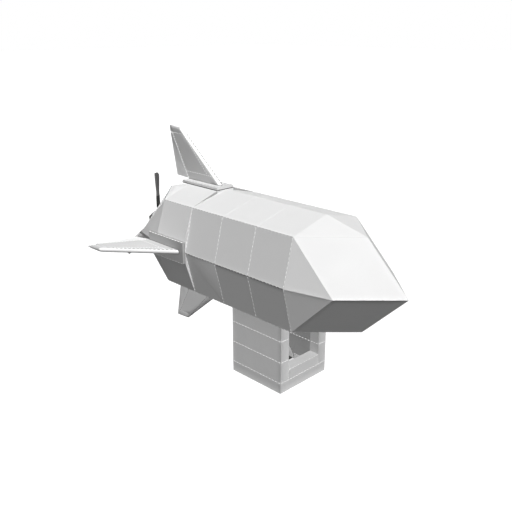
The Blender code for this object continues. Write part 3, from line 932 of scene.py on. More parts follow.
def step_closers(shape):
    """Closing strips over the steps beside the upper and lower fin mounts; their dark rubber is painted
    shade at the step.
    """
    for way in SIDES:
        for side in SIDES:
            outline = ((side * FLAT_HALF, way * (CREST - FLANK_SLOPE * FLAT_HALF)),
                       (side * FLAT_HALF, way * CREST), (side * (PANEL - 0.1), way * (PANEL + 0.03)))
            loft(shape, [[(x, y, AXIS_HEIGHT + z) for y, z in outline]
                         for x in (TAIL_BAY_FRONT - SINK, TAIL_BAY_FRONT + 0.003)])


def diamond(x):
    """The four points where a pointed end's crests end, from the starboard one."""
    return hull_ring(x, ((-PANEL, 0.0), (0.0, -PANEL), (PANEL, 0.0), (0.0, PANEL)))


def cone_seams(shape, ring_x, reach, profile, crest, tip):
    """The seams along the ridges of the nose or the tail cone."""
    ring = hull_ring(ring_x, octagon())
    spread = diamond(ring_x + reach)
    point = Vector((ring_x + 2.0 * reach, 0.0, AXIS_HEIGHT))
    inside = Vector((ring_x, 0.0, AXIS_HEIGHT))
    flat_middle = Vector((ring_x + reach, 0.0, AXIS_HEIGHT))
    for i, near in enumerate(spread):
        far = spread[(i + 1) % 4]
        corner_before = ring[2 * i - 1]
        crest_point = ring[2 * i]
        corner = ring[2 * i + 1]
        next_crest = ring[(2 * i + 2) % 8]
        edges = [(crest_point, near, corner, corner_before),
                 (corner, near, crest_point, point if tip else far),
                 (corner, far, next_crest, point if tip else near),
                 (near, point, spread[i - 1], far) if tip else (near, far, corner, flat_middle)]
        for edge in edges:
            seam(shape, *edge, inside, profile, crest)


class BLIMP_OT_envelope_fabric(bpy.types.Operator):
    """Covers the envelope's bays, nose and tail cone with coated fabric"""
    bl_idname = "blimp.envelope_fabric"
    bl_label = "Envelope fabric"

    def execute(self, context):
        look = context.scene.blimp_envelope
        cloth = coated_fabric("envelope fabric", look.fabric, look.weave, draw=look.draw)
        bays = [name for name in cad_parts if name.startswith("envelope_")]
        dress(bays, cloth, edge=0.012)
        return {"FINISHED"}


def ring_seams(shape, profile, crest):
    """The seams round the envelope, the foremost one folded down onto the nose."""
    spread = diamond(NOSE_RING + PANEL)
    nose_faces = [spread[((i + 1) // 2) % 4] for i in range(8)]
    for x, cone in zip(RING_SEAMS, (nose_faces, None, None)):
        ring_seam(shape, x, octagon(), profile, crest, cone)


def end_seams(shape, profile, crest):
    """The seams along the ridges of the nose and the tail cone."""
    cone_seams(shape, NOSE_RING, PANEL, profile, crest, tip=True)
    cone_seams(shape, TAIL_RING, -PANEL, profile, crest, tip=False)


def seam_lacing(shape, pitch, ways):
    """Lacing along the ring seams, the foremost row just behind the nose's seam."""
    for x in (NOSE_RING - 0.02, *RING_SEAMS[1:]):
        ring_lacing(shape, x, pitch, ways)


def flank_ring_lacing(shape, pitch):
    """Lacing along the ring seams' flanks and lower sides, and in front of the tail bay."""
    seam_lacing(shape, pitch, (0, -1))
    ring_lacing(shape, TAIL_BAY_FRONT + 0.024, pitch, (0,))


def bay_lacing(shape, pitch, crests):
    """Lacing along all the bays' widest ridges, or along all their corners."""
    ridge_lacing(shape, NOSE_RING, TAIL_BAY_FRONT, octagon(), pitch, crests)
    ridge_lacing(shape, TAIL_BAY_FRONT, TAIL_RING, tail_section(), pitch, crests)


class BLIMP_OT_envelope_seams(bpy.types.Operator):
    """Tapes the seams round the envelope and along its ridges"""
    bl_idname = "blimp.envelope_seams"
    bl_label = "Envelope seams"

    def execute(self, context):
        look = context.scene.blimp_envelope
        strip = flat_profile(look.tape_half, look.tape_height)
        pitch = look.lacing_pitch
        tape = seam_tape("envelope seam tape", look.fabric, look.tape_half)
        white = cord("ring lacing", look.ring_lacing)
        plain = cord("plain lacing", look.fabric)
        tail = cord("tail lacing", look.flank_lacing)
        # the closing strips' dark grey is painted shade at the step in front of the tail bay
        closing = rubber("step closer rubber, dark as painted shade", grey(0.32))
        flank = cord("flank lacing", look.flank_lacing)
        corner = cord("corner lacing", look.ridge_lacing)
        for name, build, finish, *sizes in (
                ("ring_seams", ring_seams, tape, *strip),
                ("cone_seams", end_seams, tape, *strip),
                ("flank_ring_lacing", flank_ring_lacing, white, pitch),
                ("top_ring_lacing", seam_lacing, plain, pitch, (1,)),
                ("tail_ridge_lacing", tail_ridge_lacing, tail, pitch),
                ("step_closers", step_closers, closing),
                ("flank_ridge_lacing", bay_lacing, flank, pitch, True),
                ("corner_ridge_lacing", bay_lacing, corner, pitch, False)):
            slot = "black_composite" if finish == closing else "envelope_fabric"
            add_piece(f"envelope_{name}", build, finish, *sizes, slot=slot)
        return {"FINISHED"}


# Fins

def lerp(low, high, share):
    return low + (high - low) * share


def hinge_at(s):
    return lerp(HINGE_ROOT.x, HINGE_TIP.x, (s - HINGE_ROOT.z) / (HINGE_TIP.z - HINGE_ROOT.z))


def leading_at(s):
    return lerp(LEADING_ROOT, LEADING_SEAM, (s - FIN_ROOT) / (CAP_SEAM - FIN_ROOT))


def trailing_at(s):
    return lerp(TRAILING_ROOT_X, TRAILING_SEAM_X, (s - SURFACE_ROOT) / (CAP_SEAM - SURFACE_ROOT))


def control_skin(x, s):
    """Half thickness of a control surface at a place behind the hinge line."""
    share = (hinge_at(s) - x) / (hinge_at(s) - trailing_at(s))
    return lerp(FIN_HALF, TRAILING_HALF, share)


def nose_section(leading, s, proud, fullness=1.0, slope=0.0, steps=16, start=0.0):
    """The rounded leading edge at s, standing proud of the fin, with s rising aft by slope."""
    points = []
    for i in range(steps + 1):
        angle = lerp(start, pi - start, i / steps)
        x = leading - FIN_NOSE + (FIN_NOSE + proud) * sin(angle)
        y = (FIN_HALF * fullness + proud) * cos(angle)
        points.append(Vector((x, y, s + slope * (leading - x))))
    return points


def cap_place(reach, leading, trailing):
    """x and s on the tip cap, from its seam to its tip, for a line between two x values."""
    x = lerp(leading, trailing, reach)
    behind = lerp(LEADING_SEAM, LEADING_TIP.x, reach) - x
    return x, lerp(CAP_SEAM, LEADING_TIP.z, reach) + CAP_SLOPE * reach * behind


def leading_cover(shape, height):
    """A bonded cover round the leading edge, from the root over the tip cap."""
    stations = [(LEADING_ROOT - 0.006, FIN_ROOT + 0.004, 1.0, 0.0)]
    for reach, fullness in CAP_ROUNDING:
        x, s = cap_place(reach, LEADING_SEAM, LEADING_TIP.x)
        stations.append((x, s, fullness, CAP_SLOPE * reach))
    rings = []
    for leading, s, fullness, slope in stations:
        outer = nose_section(leading, s, height, fullness, slope, start=COVER_START)
        inner = nose_section(leading, s, -SINK, fullness, slope, start=COVER_START)
        rings.append(outer + inner[::-1])
    loft(shape, rings)


def leading_seam(shape, angle, size):
    """The sewn seam of the leading edge's cover, at an angle round its nose from one side."""
    angle = radians(angle)
    ends = []
    for leading, s in ((LEADING_ROOT, FIN_ROOT + 0.02), (LEADING_SEAM, CAP_SEAM)):
        x = leading - FIN_NOSE + (FIN_NOSE + 0.003) * sin(angle)
        ends.append(Vector((x, (FIN_HALF + 0.003) * cos(angle), s)))
    outwards = Vector((sin(angle) / FIN_NOSE, cos(angle) / FIN_HALF, 0.0))
    beads(shape, ends[0], ends[1], outwards, size, 0.19, share=0.66)


def both_sides(shape, start, end, size):
    """The same row of lacing on both sides of the fixed fin."""
    for side in SIDES:
        skin = Vector((0.0, side * FIN_HALF, 0.0))
        beads(shape, start + skin, end + skin, (0.0, side, 0.0), size, FIN_PITCH)


def fin_lacing(shape):
    """Lacing along the root rib, the spar and the hinge, on both sides of a fixed fin."""
    rib_front = Vector((leading_at(ROOT_RIB) - FIN_NOSE, 0.0, ROOT_RIB))
    rib_rear = Vector((hinge_at(ROOT_RIB) + HINGE_LIP, 0.0, ROOT_RIB))
    hinge = [Vector((hinge_at(s) + HINGE_LIP + 0.02, 0.0, s))
             for s in (FIN_ROOT + 0.01, CAP_SEAM - 0.02)]
    for start, end in ((rib_front, rib_rear), (SPAR_ROOT, SPAR_TIP), hinge):
        both_sides(shape, start, end, FIN_CORD)


def cap_lacing(shape):
    """Lacing along the tip cap's seam."""
    s = CAP_SEAM - 0.012
    both_sides(shape, Vector((LEADING_SEAM - FIN_NOSE, 0.0, s)),
               Vector((hinge_at(s) + HINGE_LIP, 0.0, s)), CAP_CORD)


def root_bead(shape):
    """Sealant where a fin meets its mount."""
    rear_x = hinge_at(FIN_ROOT) + HINGE_LIP
    points = [Vector((rear_x, FIN_HALF, FIN_ROOT))] + nose_section(LEADING_ROOT, FIN_ROOT, 0.0)
    points.append(Vector((rear_x, -FIN_HALF, FIN_ROOT)))
    tube(shape, points, 0.012)


def mount_corners(s, grow=0.0):
    """The corners of a mount's plan at s, in turn."""
    return [Vector((x, y, s)) for x, y in ((MOUNT_LOW.x - grow, -FLAT_HALF - grow),
                                           (MOUNT_HIGH.x + grow, -FLAT_HALF - grow),
                                           (MOUNT_HIGH.x + grow, FLAT_HALF + grow),
                                           (MOUNT_LOW.x - grow, FLAT_HALF + grow))]


def mount_lacing(shape):
    """Short lengths of bead along the upper border of a mount's two long sides."""
    corners = mount_corners(FIN_ROOT - 0.014)
    for i in (0, 2):
        following = corners[i + 1]
        outwards = (following - corners[i]).cross(UP)
        beads(shape, corners[i], following, outwards, MOUNT_CORD, 0.2, share=0.62)


def mount_gasket(shape, radius):
    """A rubber gasket round a mount's foot."""
    corners = mount_corners(CREST + 0.5 * radius, grow=0.002)
    for i, corner in enumerate(corners):
        tube(shape, [corner, corners[(i + 1) % 4]], radius)


def mount_bolts(shape):
    """Bolts along both sides of a mount."""
    inset = 0.07
    for side in SIDES:
        y = side * (FLAT_HALF - inset)
        places = row((MOUNT_LOW.x, y, FIN_ROOT), (MOUNT_HIGH.x, y, FIN_ROOT), 0.22, margin=inset)
        for place in places:
            hex_bolt(shape, place, UP, 0.014, 0.012)


def trailing_strip(shape, stations, height, flare):
    """A folded strip over a trailing edge through (point, half width) stations, wider in front."""
    rings = []
    for point, half in stations:
        section = ((0.06, half + flare), (-height, half + height), (-height, -half - height),
                   (0.06, -half - flare), (0.06, -half), (0.06, half))
        rings.append([point + Vector((x, y, 0.0)) for x, y in section])
    loft(shape, rings)


def surface_edge(shape):
    """The strip over a control surface's trailing edge."""
    stations = [(Vector((trailing_at(s), 0.0, s)), TRAILING_HALF)
                for s in (SURFACE_ROOT, SURFACE_TIP)]
    trailing_strip(shape, stations, 0.002, 0.010)


def cap_edge(shape):
    """The strip over the tip cap's trailing edge, up to where the cap starts to close."""
    stations = []
    for reach, fullness in CAP_ROUNDING[:3]:
        x, s = cap_place(reach, TRAILING_SEAM_X, TRAILING_TIP.x)
        stations.append((Vector((x, 0.0, s)), TRAILING_HALF * fullness))
    trailing_strip(shape, stations, 0.002, 0.018)


def control_ribs(shape):
    """Rib tapes across both sides of a control surface."""
    profile, crest = flat_profile(0.014, 0.0015)
    for s in CONTROL_RIBS:
        front_x = hinge_at(s) - 0.02
        rear_x = trailing_at(s) + 0.06
        inside = Vector((front_x, 0.0, s))
        for side in SIDES:
            start = Vector((front_x, side * control_skin(front_x, s), s))
            end = Vector((rear_x, side * control_skin(rear_x, s), s))
            seam(shape, start, end, start + UP, start - UP, inside, profile, crest)


class BLIMP_OT_fins(bpy.types.Operator):
    """Covers the fins and fits their lacing, covers, strips, gaskets and bolts"""
    bl_idname = "blimp.fins"
    bl_label = "Fins"

    def execute(self, context):
        look = context.scene.blimp_fins
        weave = context.scene.blimp_envelope.weave
        light_cord = cord("light fin lacing", look.lacing)
        grey_cord = cord("leading edge seam cord", shade(look.dark_lacing, 0.6))
        shaded_lower_fin_cord = cord("dark fin lacing", look.dark_lacing)
        # the covers are real parts, and their near-white is a painted highlight along the rounded leading
        # edge
        cover = sprayed_paint("leading edge cover", look.leading_edge, shade(look.leading_edge, 0.8))
        edging = sprayed_paint("trailing edge strip", look.control, shade(look.control, 0.8))
        gasket = rubber("fin gasket rubber", grey(0.05))
        bolt_steel = turned_steel("fin bolt steel", 0.55)

        for side, tilt, control, body, fixed_painted_shading, control_painted_shading, mount_painted_shading in FINS:
            fin = f"{side}_fin"
            # painted light and shade: the same fabric and paint made lighter or darker for this fin's
            # place
            fixed = shade(look.fixed, fixed_painted_shading)
            cloth = coated_fabric(f"{side} fin fabric", fixed, weave, fairing_reach=look.fairing)
            control_cloth = coated_fabric(f"{control} fabric", shade(look.control, control_painted_shading), weave)
            mount_paint = sprayed_paint(f"{side} fin mount paint", shade(look.mount, mount_painted_shading),
                                        BARE_METAL)
            dress([fin], cloth)
            dress([f"{fin}_cap"], coated_fabric(f"{side} fin cap fabric", fixed, weave))
            dress([control], control_cloth)
            dress([f"{fin}_mount"], mount_paint, edge=0.006)

            # the lower fin's lacing is dark as painted shade, the other fins' light
            lacing = shaded_lower_fin_cord if side == "lower" else light_cord
            if side in ("upper", "lower"):
                gasket_radius, *seam_place = 0.018, 62.0, (0.032, 0.020)
            else:
                gasket_radius, *seam_place = 0.007, 30.0, (0.016, 0.010)
            turn = Matrix.Translation((0.0, 0.0, AXIS_HEIGHT)) @ Matrix.Rotation(radians(tilt), 4, "X")
            fittings = [
                (f"{fin}_lacing", fin_lacing, lacing, "root", "fin_fabric"),
                (f"{fin}_cap_lacing", cap_lacing, light_cord, "root", "fin_fabric"),
                (f"{fin}_root_bead", root_bead, gasket, "root", "black_composite"),
                (f"{fin}_mount_bead", mount_lacing, light_cord, "root", "fin_mount_metal"),
                (f"{fin}_mount_bolts", mount_bolts, bolt_steel, "root", "bare_steel"),
                (f"{fin}_cap_edge", cap_edge, edging, "root", "fin_fabric"),
                (f"{control}_trailing_edge", surface_edge, edging, body, "fin_fabric"),
                (f"{control}_ribs", control_ribs, control_cloth, body, "fin_fabric"),
                (f"{fin}_mount_gasket", mount_gasket, gasket, "root", "black_composite",
                 gasket_radius),
                (f"{fin}_leading_seam", leading_seam, grey_cord, "root", "fin_fabric", *seam_place),
                (f"{fin}_leading_edge", leading_cover, cover, "root", "fin_fabric",
                 look.cover_height)]
            for name, build, finish, carrier, slot, *sizes in fittings:
                if name != "upper_fin_mount_bead":
                    add_piece(name, build, finish, *sizes, turn=turn, body=carrier, slot=slot)
        return {"FINISHED"}


# Propulsion

def blade_axes(radius):
    """Unit vectors along and across a blade's chord, for a blade that points straight up."""
    pitch = atan(BLADE_TWIST_RADIUS / radius)
    return Vector((sin(pitch), -cos(pitch), 0.0)), Vector((cos(pitch), sin(pitch), 0.0))


def between_stations(radius):
    """Reach to the leading side, reach to the trailing side and thickness at a radius."""
    pairs = zip(BLADE_STATIONS, BLADE_STATIONS[1:])
    low, high = next((pair for pair in pairs if radius <= pair[1][0]), BLADE_STATIONS[-2:])
    share = (radius - low[0]) / (high[0] - low[0])
    return [lerp(a, b, share) for a, b in zip(low[1:], high[1:])]


def blade_size(radius):
    """As between_stations, with the corners at the stations evened out."""
    reach = min(0.08, radius - HUB_APOTHEM, BLADE_TIP - radius)
    picks = [between_stations(radius + shift * reach) for shift in (-1.0, -0.5, 0.0, 0.5, 1.0)]
    return [sum(values) / len(picks) for values in zip(*picks)]


def blade_point(radius, share, face, proud=0.0):
    """A point on a blade: share runs from -1 at the trailing side to 1, and face is -1 or 1."""
    along, across = blade_axes(radius)
    lead, trail, thickness = blade_size(radius)
    half = 0.5 * thickness * (0.25 + 0.75 * max(0.0, 1.0 - share * share) ** 0.75)
    reach = share * (lead if share > 0.0 else trail)
    if abs(share) > 0.999:
        reach += proud if share > 0.0 else -proud
    return Vector((0.0, 0.0, radius)) + along * reach + across * face * (half + proud)


BLADE_SHARES = [cos(pi * i / 12) for i in range(13)]


def blade_ring(radius, proud=0.0):
    front = [blade_point(radius, share, 1.0, proud) for share in BLADE_SHARES]
    return front + [blade_point(radius, share, -1.0, proud) for share in reversed(BLADE_SHARES)]


def blade_shape(shape, steps=52):
    loft(shape, [blade_ring(lerp(HUB_APOTHEM, BLADE_TIP, i / steps)) for i in range(steps + 1)])


def blade_boot(shape, low=0.54, high=1.30, steps=24, height=0.0025):
    """A rubber boot round a blade's inner part, thin towards both ends."""
    rings = [blade_ring(low, -SINK)]
    for i in range(steps + 1):
        share = i / steps
        proud = height * min(1.0, 0.3 + 6.0 * share, 0.3 + 6.0 * (1.0 - share))
        rings.append(blade_ring(lerp(low, high, share), proud))
    rings.append(blade_ring(high, -SINK))
    loft(shape, rings)


def blade_strip(shape, low=1.32, high=2.40, steps=20, height=0.0015):
    """A metal strip that guards a blade's edge."""
    rings = []
    for i in range(steps + 1):
        radius = lerp(low, high, i / steps)
        outer = [blade_point(radius, share, face, height) for share, face in
                 ((-0.72, 1.0), (-0.88, 1.0), (-1.0, 1.0), (-1.0, -1.0), (-0.88, -1.0), (-0.72, -1.0))]
        inner = [blade_point(radius, share, face, -SINK) for share, face in
                 ((-0.72, -1.0), (-0.88, -1.0), (-0.88, 1.0), (-0.72, 1.0))]
        rings.append(outer + inner)
    loft(shape, rings)


def blade_collar(shape):
    """The turned socket and its bolts where a blade enters the hub."""
    seat = UP * HUB_APOTHEM
    profile = ((-0.004, 0.108), (0.018, 0.108), (0.022, 0.104), (0.022, 0.096), (0.055, 0.092),
               (0.068, 0.086), (0.072, 0.078))
    turned(shape, seat, UP, profile, 48)
    for i in range(8):
        angle = 2.0 * pi * (i + 0.5) / 8
        place = seat + Vector((0.100 * cos(angle), 0.100 * sin(angle), 0.021))
        hex_bolt(shape, place, UP, 0.0045, 0.006)


def motor_housing(shape, flange=0.05, pitch=0.05, depth=0.03):
    """The motor's housing: a flange, a stack of cooling fins and a domed end, narrower aft."""
    length = MOTOR_HIGH.x - MOTOR_LOW.x
    front_radius = MOTOR_HIGH.y
    rear_radius = front_radius - 0.08
    profile = [(0.0, front_radius), (flange, front_radius), (flange, front_radius - depth)]
    along = flange + 0.02
    while along + pitch < length - 0.12:
        radius = lerp(front_radius, rear_radius, along / length) - 0.006
        profile += [(along, radius - depth), (along + 0.004, radius), (along + 0.020, radius),
                    (along + 0.024, radius - depth)]
        along += pitch
    profile += [(length - 0.10, rear_radius), (length - 0.03, rear_radius - 0.004),
                (length - 0.008, rear_radius - 0.03), (length, rear_radius - 0.06)]
    turned(shape, (MOTOR_HIGH.x, 0.0, AXIS_HEIGHT), -AHEAD, profile, 72)


def flange_bolts(shape):
    """Bolts round the motor housing's flange."""
    radius = MOTOR_HIGH.y - 0.018
    for i in range(16):
        angle = 2.0 * pi * (i + 0.5) / 16
        place = Vector((MOTOR_HIGH.x - 0.05, radius * cos(angle), AXIS_HEIGHT + radius * sin(angle)))
        hex_bolt(shape, place, -AHEAD, 0.010, 0.009)


def spinner_radius(along):
    """The spinner's radius at a distance behind its back plate."""
    length = SPINNER_HIGH.x - SPINNER_LOW.x
    return SPINNER_HIGH.y * (1.0 - (along / length) ** SPINNER_CURVE)


def spinner_shell(shape, steps=28):
    """The spinner: a back plate, a narrow groove and the pointed shell."""
    length = SPINNER_HIGH.x - SPINNER_LOW.x
    radius = SPINNER_HIGH.y
    profile = [(0.0, radius), (0.018, spinner_radius(0.018)), (0.018, radius - 0.012),
               (0.024, radius - 0.012)]
    for i in range(steps):
        along = lerp(0.024, length - 0.004, i / (steps - 1))
        profile.append((along, spinner_radius(along)))
    profile.append((length - 0.001, 0.001))
    turned(shape, (SPINNER_HIGH.x, 0.0, AXIS_HEIGHT), -AHEAD, profile, 96)


def spinner_screws(shape, inset=0.045):
    """Screws round the spinner's shell."""
    middle = Vector((SPINNER_HIGH.x - inset, 0.0, AXIS_HEIGHT))
    for i in range(18):
        angle = 2.0 * pi * i / 18
        radial = Vector((0.0, cos(angle), sin(angle)))
        stud(shape, middle + radial * spinner_radius(inset), radial, 0.007, 0.003)


class BLIMP_OT_propulsion(bpy.types.Operator):
    """Makes the motor's finned housing, the spinner and the three blades with their boots"""
    bl_idname = "blimp.propulsion"
    bl_label = "Motor and propeller"

    def execute(self, context):
        look = context.scene.blimp_propulsion
        blade = carbon_composite("blade composite", look.blade)
        boot = rubber("blade boot rubber", look.boot, 0.6)
        spinner = carbon_composite("spinner composite", look.spinner, 0.3)
        motor = sprayed_paint("motor housing paint", look.motor, grey(0.45), roughness=0.45,
                              metallic_wear=True)
        strip = sprayed_paint("blade edge strip", look.strip, BARE_METAL)
        steel = turned_steel("propeller steel", 0.55)

        dress(["propeller_shaft"], steel)
        dress(["propeller_hub"], blade, edge=0.008)
        add_piece("motor_housing_shell", motor_housing, motor, slot="motor_paint",
                  stands_for="motor_housing")
        add_piece("motor_flange_bolts", flange_bolts, steel, slot="bare_steel")
        add_piece("propeller_spinner_shell", spinner_shell, spinner, body="propeller",
                  slot="black_composite", smooth=50.0, stands_for="propeller_spinner")
        add_piece("propeller_spinner_screws", spinner_screws, steel, body="propeller",
                  slot="bare_steel")

        middle = Matrix.Translation((HUB_X, 0.0, AXIS_HEIGHT))
        for number, angle in enumerate(BLADE_ANGLES, start=1):
            turn = middle @ Matrix.Rotation(radians(angle - 90.0), 4, "X")
            node = f"propeller_blade_{number}"
            for part, build, finish, slot, smooth, stands_for in (
                    ("shell", blade_shape, blade, "dark_composite", 50.0, node),
                    ("boot", blade_boot, boot, "black_composite", 50.0, None),
                    ("strip", blade_strip, strip, "dark_composite", 50.0, None),
                    ("collar", blade_collar, steel, "bare_steel", 35.0, None)):
                add_piece(f"{node}_{part}", build, finish, turn=turn, body="propeller", slot=slot,
                          smooth=smooth, stands_for=stands_for)
        return {"FINISHED"}


# Gondola

def wall_top(y):
    """Height of the envelope's underside over a place in the gondola."""
    return KEEL_HEIGHT + abs(y) * FLANK_SLOPE


def moulding(shape, start, end, outwards, size, pitch):
    """Lengths of moulding in a line on a wall."""
    beads(shape, start, end, outwards, size, pitch, share=0.6)


def outer_mouldings(shape, size, pitch):
    """Mouldings over the joints between the gondola's panels, outside."""
    half = GONDOLA_HALF
    sides = (((-half, -half), (half, -half), (0.0, -1.0, 0.0)),
             ((half, half), (-half, half), (0.0, 1.0, 0.0)),
             ((-half, half), (-half, -half), (-1.0, 0.0, 0.0)))
    for z in COURSE_SEAMS:
        for (x0, y0), (x1, y1), outwards in sides:
            moulding(shape, (x0, y0, z), (x1, y1, z), outwards, size, pitch)
    moulding(shape, (half, -half, FLOOR_TOP), (half, half, FLOOR_TOP), AHEAD, size, pitch)
    for z in COURSE_SEAMS[1:]:
        for side in SIDES:
            moulding(shape, (half, side * half, z), (half, side * CABIN_HALF, z), AHEAD, size, pitch)


def upright_mouldings(shape, size, pitch):
    """Narrower mouldings over the upright joints, and along the window sill's edge."""
    half = GONDOLA_HALF
    for side in SIDES:
        y = side * CABIN_HALF
        moulding(shape, (half, y, FLOOR_TOP), (half, y, SILL_TOP), AHEAD, size, pitch)
        moulding(shape, (-half, y, FLOOR_TOP), (-half, y, wall_top(y)), -AHEAD, size, pitch)
    z = SILL_TOP - size[0]
    moulding(shape, (half, -CABIN_HALF, z), (half, CABIN_HALF, z), AHEAD, size, pitch)


def inner_mouldings(shape, size, pitch):
    """Mouldings over the middle joint inside the cabin, and across the window's reveals."""
    z = COURSE_SEAMS[1]
    half = CABIN_HALF - LINING
    for side in SIDES:
        inwards = (0.0, -side, 0.0)
        moulding(shape, (-half, side * half, z), (CABIN_HALF, side * half, z), inwards, size, pitch)
        moulding(shape, (CABIN_HALF, side * CABIN_HALF, z), (GONDOLA_HALF, side * CABIN_HALF, z),
                 inwards, size, pitch)
    moulding(shape, (-half, -half, z), (-half, half, z), AHEAD, size, pitch)


def cabin_lining(shape):
    """Thin lining panels on the cabin's walls, shaped to the envelope above."""
    reach = CABIN_HALF
    top = wall_top(reach - LINING) - 0.001
    low = FLOOR_TOP + 0.006
    for side in SIDES:
        near, far = sorted((side * (reach + SINK), side * (reach - LINING)))
        slab(shape, (-reach, near, low), (reach, far, top))
    slab(shape, (reach - LINING, -reach, low), (reach + SINK, reach, SILL_TOP - 0.004))
    inner = reach - 2.0 * LINING
    outline = ((-inner, low), (inner, low), (inner, wall_top(inner) - 0.001),
               (0.0, wall_top(0.0) - 0.001), (-inner, wall_top(inner) - 0.001))
    loft(shape, [[(x, y, z) for y, z in outline] for x in (-reach - SINK, -reach + LINING)])


def window_trim(shape):
    """Trim plates on the window's sill and on its two sides."""
    near = CABIN_HALF + 0.004
    far = GONDOLA_HALF - 0.004
    slab(shape, (near, -CABIN_HALF + 0.004, SILL_TOP - SINK),
         (far, CABIN_HALF - 0.004, SILL_TOP + LINING))
    top = wall_top(CABIN_HALF - LINING) - 0.001
    for side in SIDES:
        low, high = sorted((side * (CABIN_HALF + SINK), side * (CABIN_HALF - LINING)))
        slab(shape, (near, low, SILL_TOP + 0.006), (far, high, top))


def flange_run(shape, start, end, beside, inside, outwards):
    """A length of the hull flange, with a row of bolts in the wall below it."""
    seam(shape, start, end, start + DOWN, start + beside, inside, *flat_profile(0.055, 0.004))
    for place in row(start + DOWN * 0.034, end + DOWN * 0.034, 0.22, margin=0.08):
        hex_bolt(shape, place, outwards, 0.010, 0.010)


def hull_flange(shape):
    """The flange that joins the gondola's walls to the envelope, with its bolts."""
    half = GONDOLA_HALF
    lift = UP * 0.3
    for side in SIDES:
        start = Vector((-half, side * half, wall_top(half)))
        end = Vector((half, side * half, wall_top(half)))
        inside = Vector((0.0, side * (half - 0.3), start.z)) + lift
        flange_run(shape, start, end, Vector((0.0, side, FLANK_SLOPE)), inside, (0.0, side, 0.0))
    for x, reach, way in ((-half, 0.0, -AHEAD), (half, CABIN_HALF, AHEAD)):
        for side in SIDES:
            start = Vector((x, side * reach, wall_top(reach)))
            end = Vector((x, side * half, wall_top(half)))
            flange_run(shape, start, end, way, (start + end) / 2 - way * 0.3 + lift, way)


def screw_row(shape, start, end, outwards, pitch):
    """Screws in a line on a wall."""
    for place in row(start, end, pitch, margin=SCREW_INSET):
        stud(shape, place, outwards, 0.008, 0.003)


def panel_screws(shape, pitch):
    """Screws along the upper and lower border of every outer panel."""
    half = GONDOLA_HALF
    heights = [z + shift for z in COURSE_SEAMS for shift in (-SCREW_INSET, SCREW_INSET)]
    for z in (*heights, SCREW_INSET):
        for side in SIDES:
            screw_row(shape, (-half, side * half, z), (half, side * half, z), (0.0, side, 0.0), pitch)
        screw_row(shape, (-half, -half, z), (-half, half, z), -AHEAD, pitch)
        if z < SILL_TOP:
            screw_row(shape, (half, -half, z), (half, half, z), AHEAD, pitch)
        else:
            for side in SIDES:
                screw_row(shape, (half, side * half, z), (half, side * CABIN_HALF, z), AHEAD, pitch)


def floor_covering(shape):
    """A ribbed non-slip covering on the cabin floor."""
    reach = CABIN_HALF - 0.012
    base = FLOOR_TOP + 0.004
    rounded_slab(shape, (-reach, -reach, FLOOR_TOP + SEAT_GAP), (reach, reach, base), 0.001, 2)
    pitch = 0.04
    count = int((2.0 * reach - 0.04) / pitch)
    side = Vector((0.0, 1.0, 0.0))
    for i in range(count + 1):
        y = -reach + 0.02 + i * pitch
        start = Vector((-reach + 0.02, y, base))
        end = Vector((reach - 0.02, y, base))
        seam(shape, start, end, start + side, start - side, start + DOWN,
             [(0.007, -SINK), (0.005, 0.003)], 0.0035)


class BLIMP_OT_gondola(bpy.types.Operator):
    """Paints the gondola and fits its mouldings, screws, hull flange, lining and floor"""
    bl_idname = "blimp.gondola"
    bl_label = "Gondola"

    def execute(self, context):
        look = context.scene.blimp_gondola
        bare = shade(look.shell, 1.25)
        paint = sprayed_paint("gondola paint", look.shell, bare, wear=0.45,
                              draw=((1.0, 1.0, 0.0), 0.4))
        base_paint = sprayed_paint("gondola base paint", look.shell, bare, wear=0.45,
                                   draw=((1.0, 1.0, 1.0), 0.32))
        white = sprayed_paint("moulding paint", look.moulding, shade(look.moulding, 0.75))
        # the lining, the window trim on the sill and reveals, and the floor covering are made darker as
        # painted shade inside the cabin
        lining = sprayed_paint("cabin lining paint, dark as painted shade", look.lining, shade(look.lining, 1.2))
        window = sprayed_paint("window trim paint, dark as painted shade", look.window, shade(look.window, 1.2))
        floor = rubber("cabin floor covering", look.floor, 0.8)
        steel = turned_steel("gondola screw steel", 0.6)
        dress([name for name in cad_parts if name.startswith("gondola_")], paint, edge=0.006)
        dress(["gondola_floor"], base_paint)

        size = (look.moulding_half, look.moulding_height)
        small = (0.7 * look.moulding_half, 0.7 * look.moulding_height)
        pitch = look.moulding_pitch
        for name, build, finish, *sizes in (
                ("outer_mouldings", outer_mouldings, white, size, pitch),
                ("upright_mouldings", upright_mouldings, white, small, pitch),
                ("inner_mouldings", inner_mouldings, white, size, pitch),
                ("hull_flange", hull_flange, paint),
                ("cabin_lining", cabin_lining, lining),
                ("window_trim", window_trim, window),
                ("floor_covering", floor_covering, floor)):
            add_piece(f"gondola_{name}", build, finish, *sizes, slot="gondola_paint")
        add_piece("gondola_panel_screws", panel_screws, steel, look.screw_pitch, slot="bare_steel")
        return {"FINISHED"}


# Cabin

SEAT_BACK_LEAN = 0.18      # metres aft for each metre up
CONSOLE_LOW, CONSOLE_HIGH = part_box("side_console")
PLATE_TOP = CONSOLE_HIGH.z + 0.003
DIAL = 0.040               # radius of a dial's bezel
DIALS = [Vector((CONSOLE_LOW.x + 0.10, (CONSOLE_LOW.y + CONSOLE_HIGH.y) / 2 + shift, PLATE_TOP))
         for shift in (0.055, -0.055)]
# lever, radius and height of its boot, radius of its grip
LEVERS = (("steering_stick", 0.065, 0.05, 0.019), ("throttle_lever", 0.050, 0.035, 0.016))
VOXEL = 0.006
SWELL_PRESSURE = 4.0
SWELL_STEPS = 20
SWELL_TRAVEL = 0.012
CHANNEL_HALF = 0.007
CHANNEL_DEPTH = 0.009


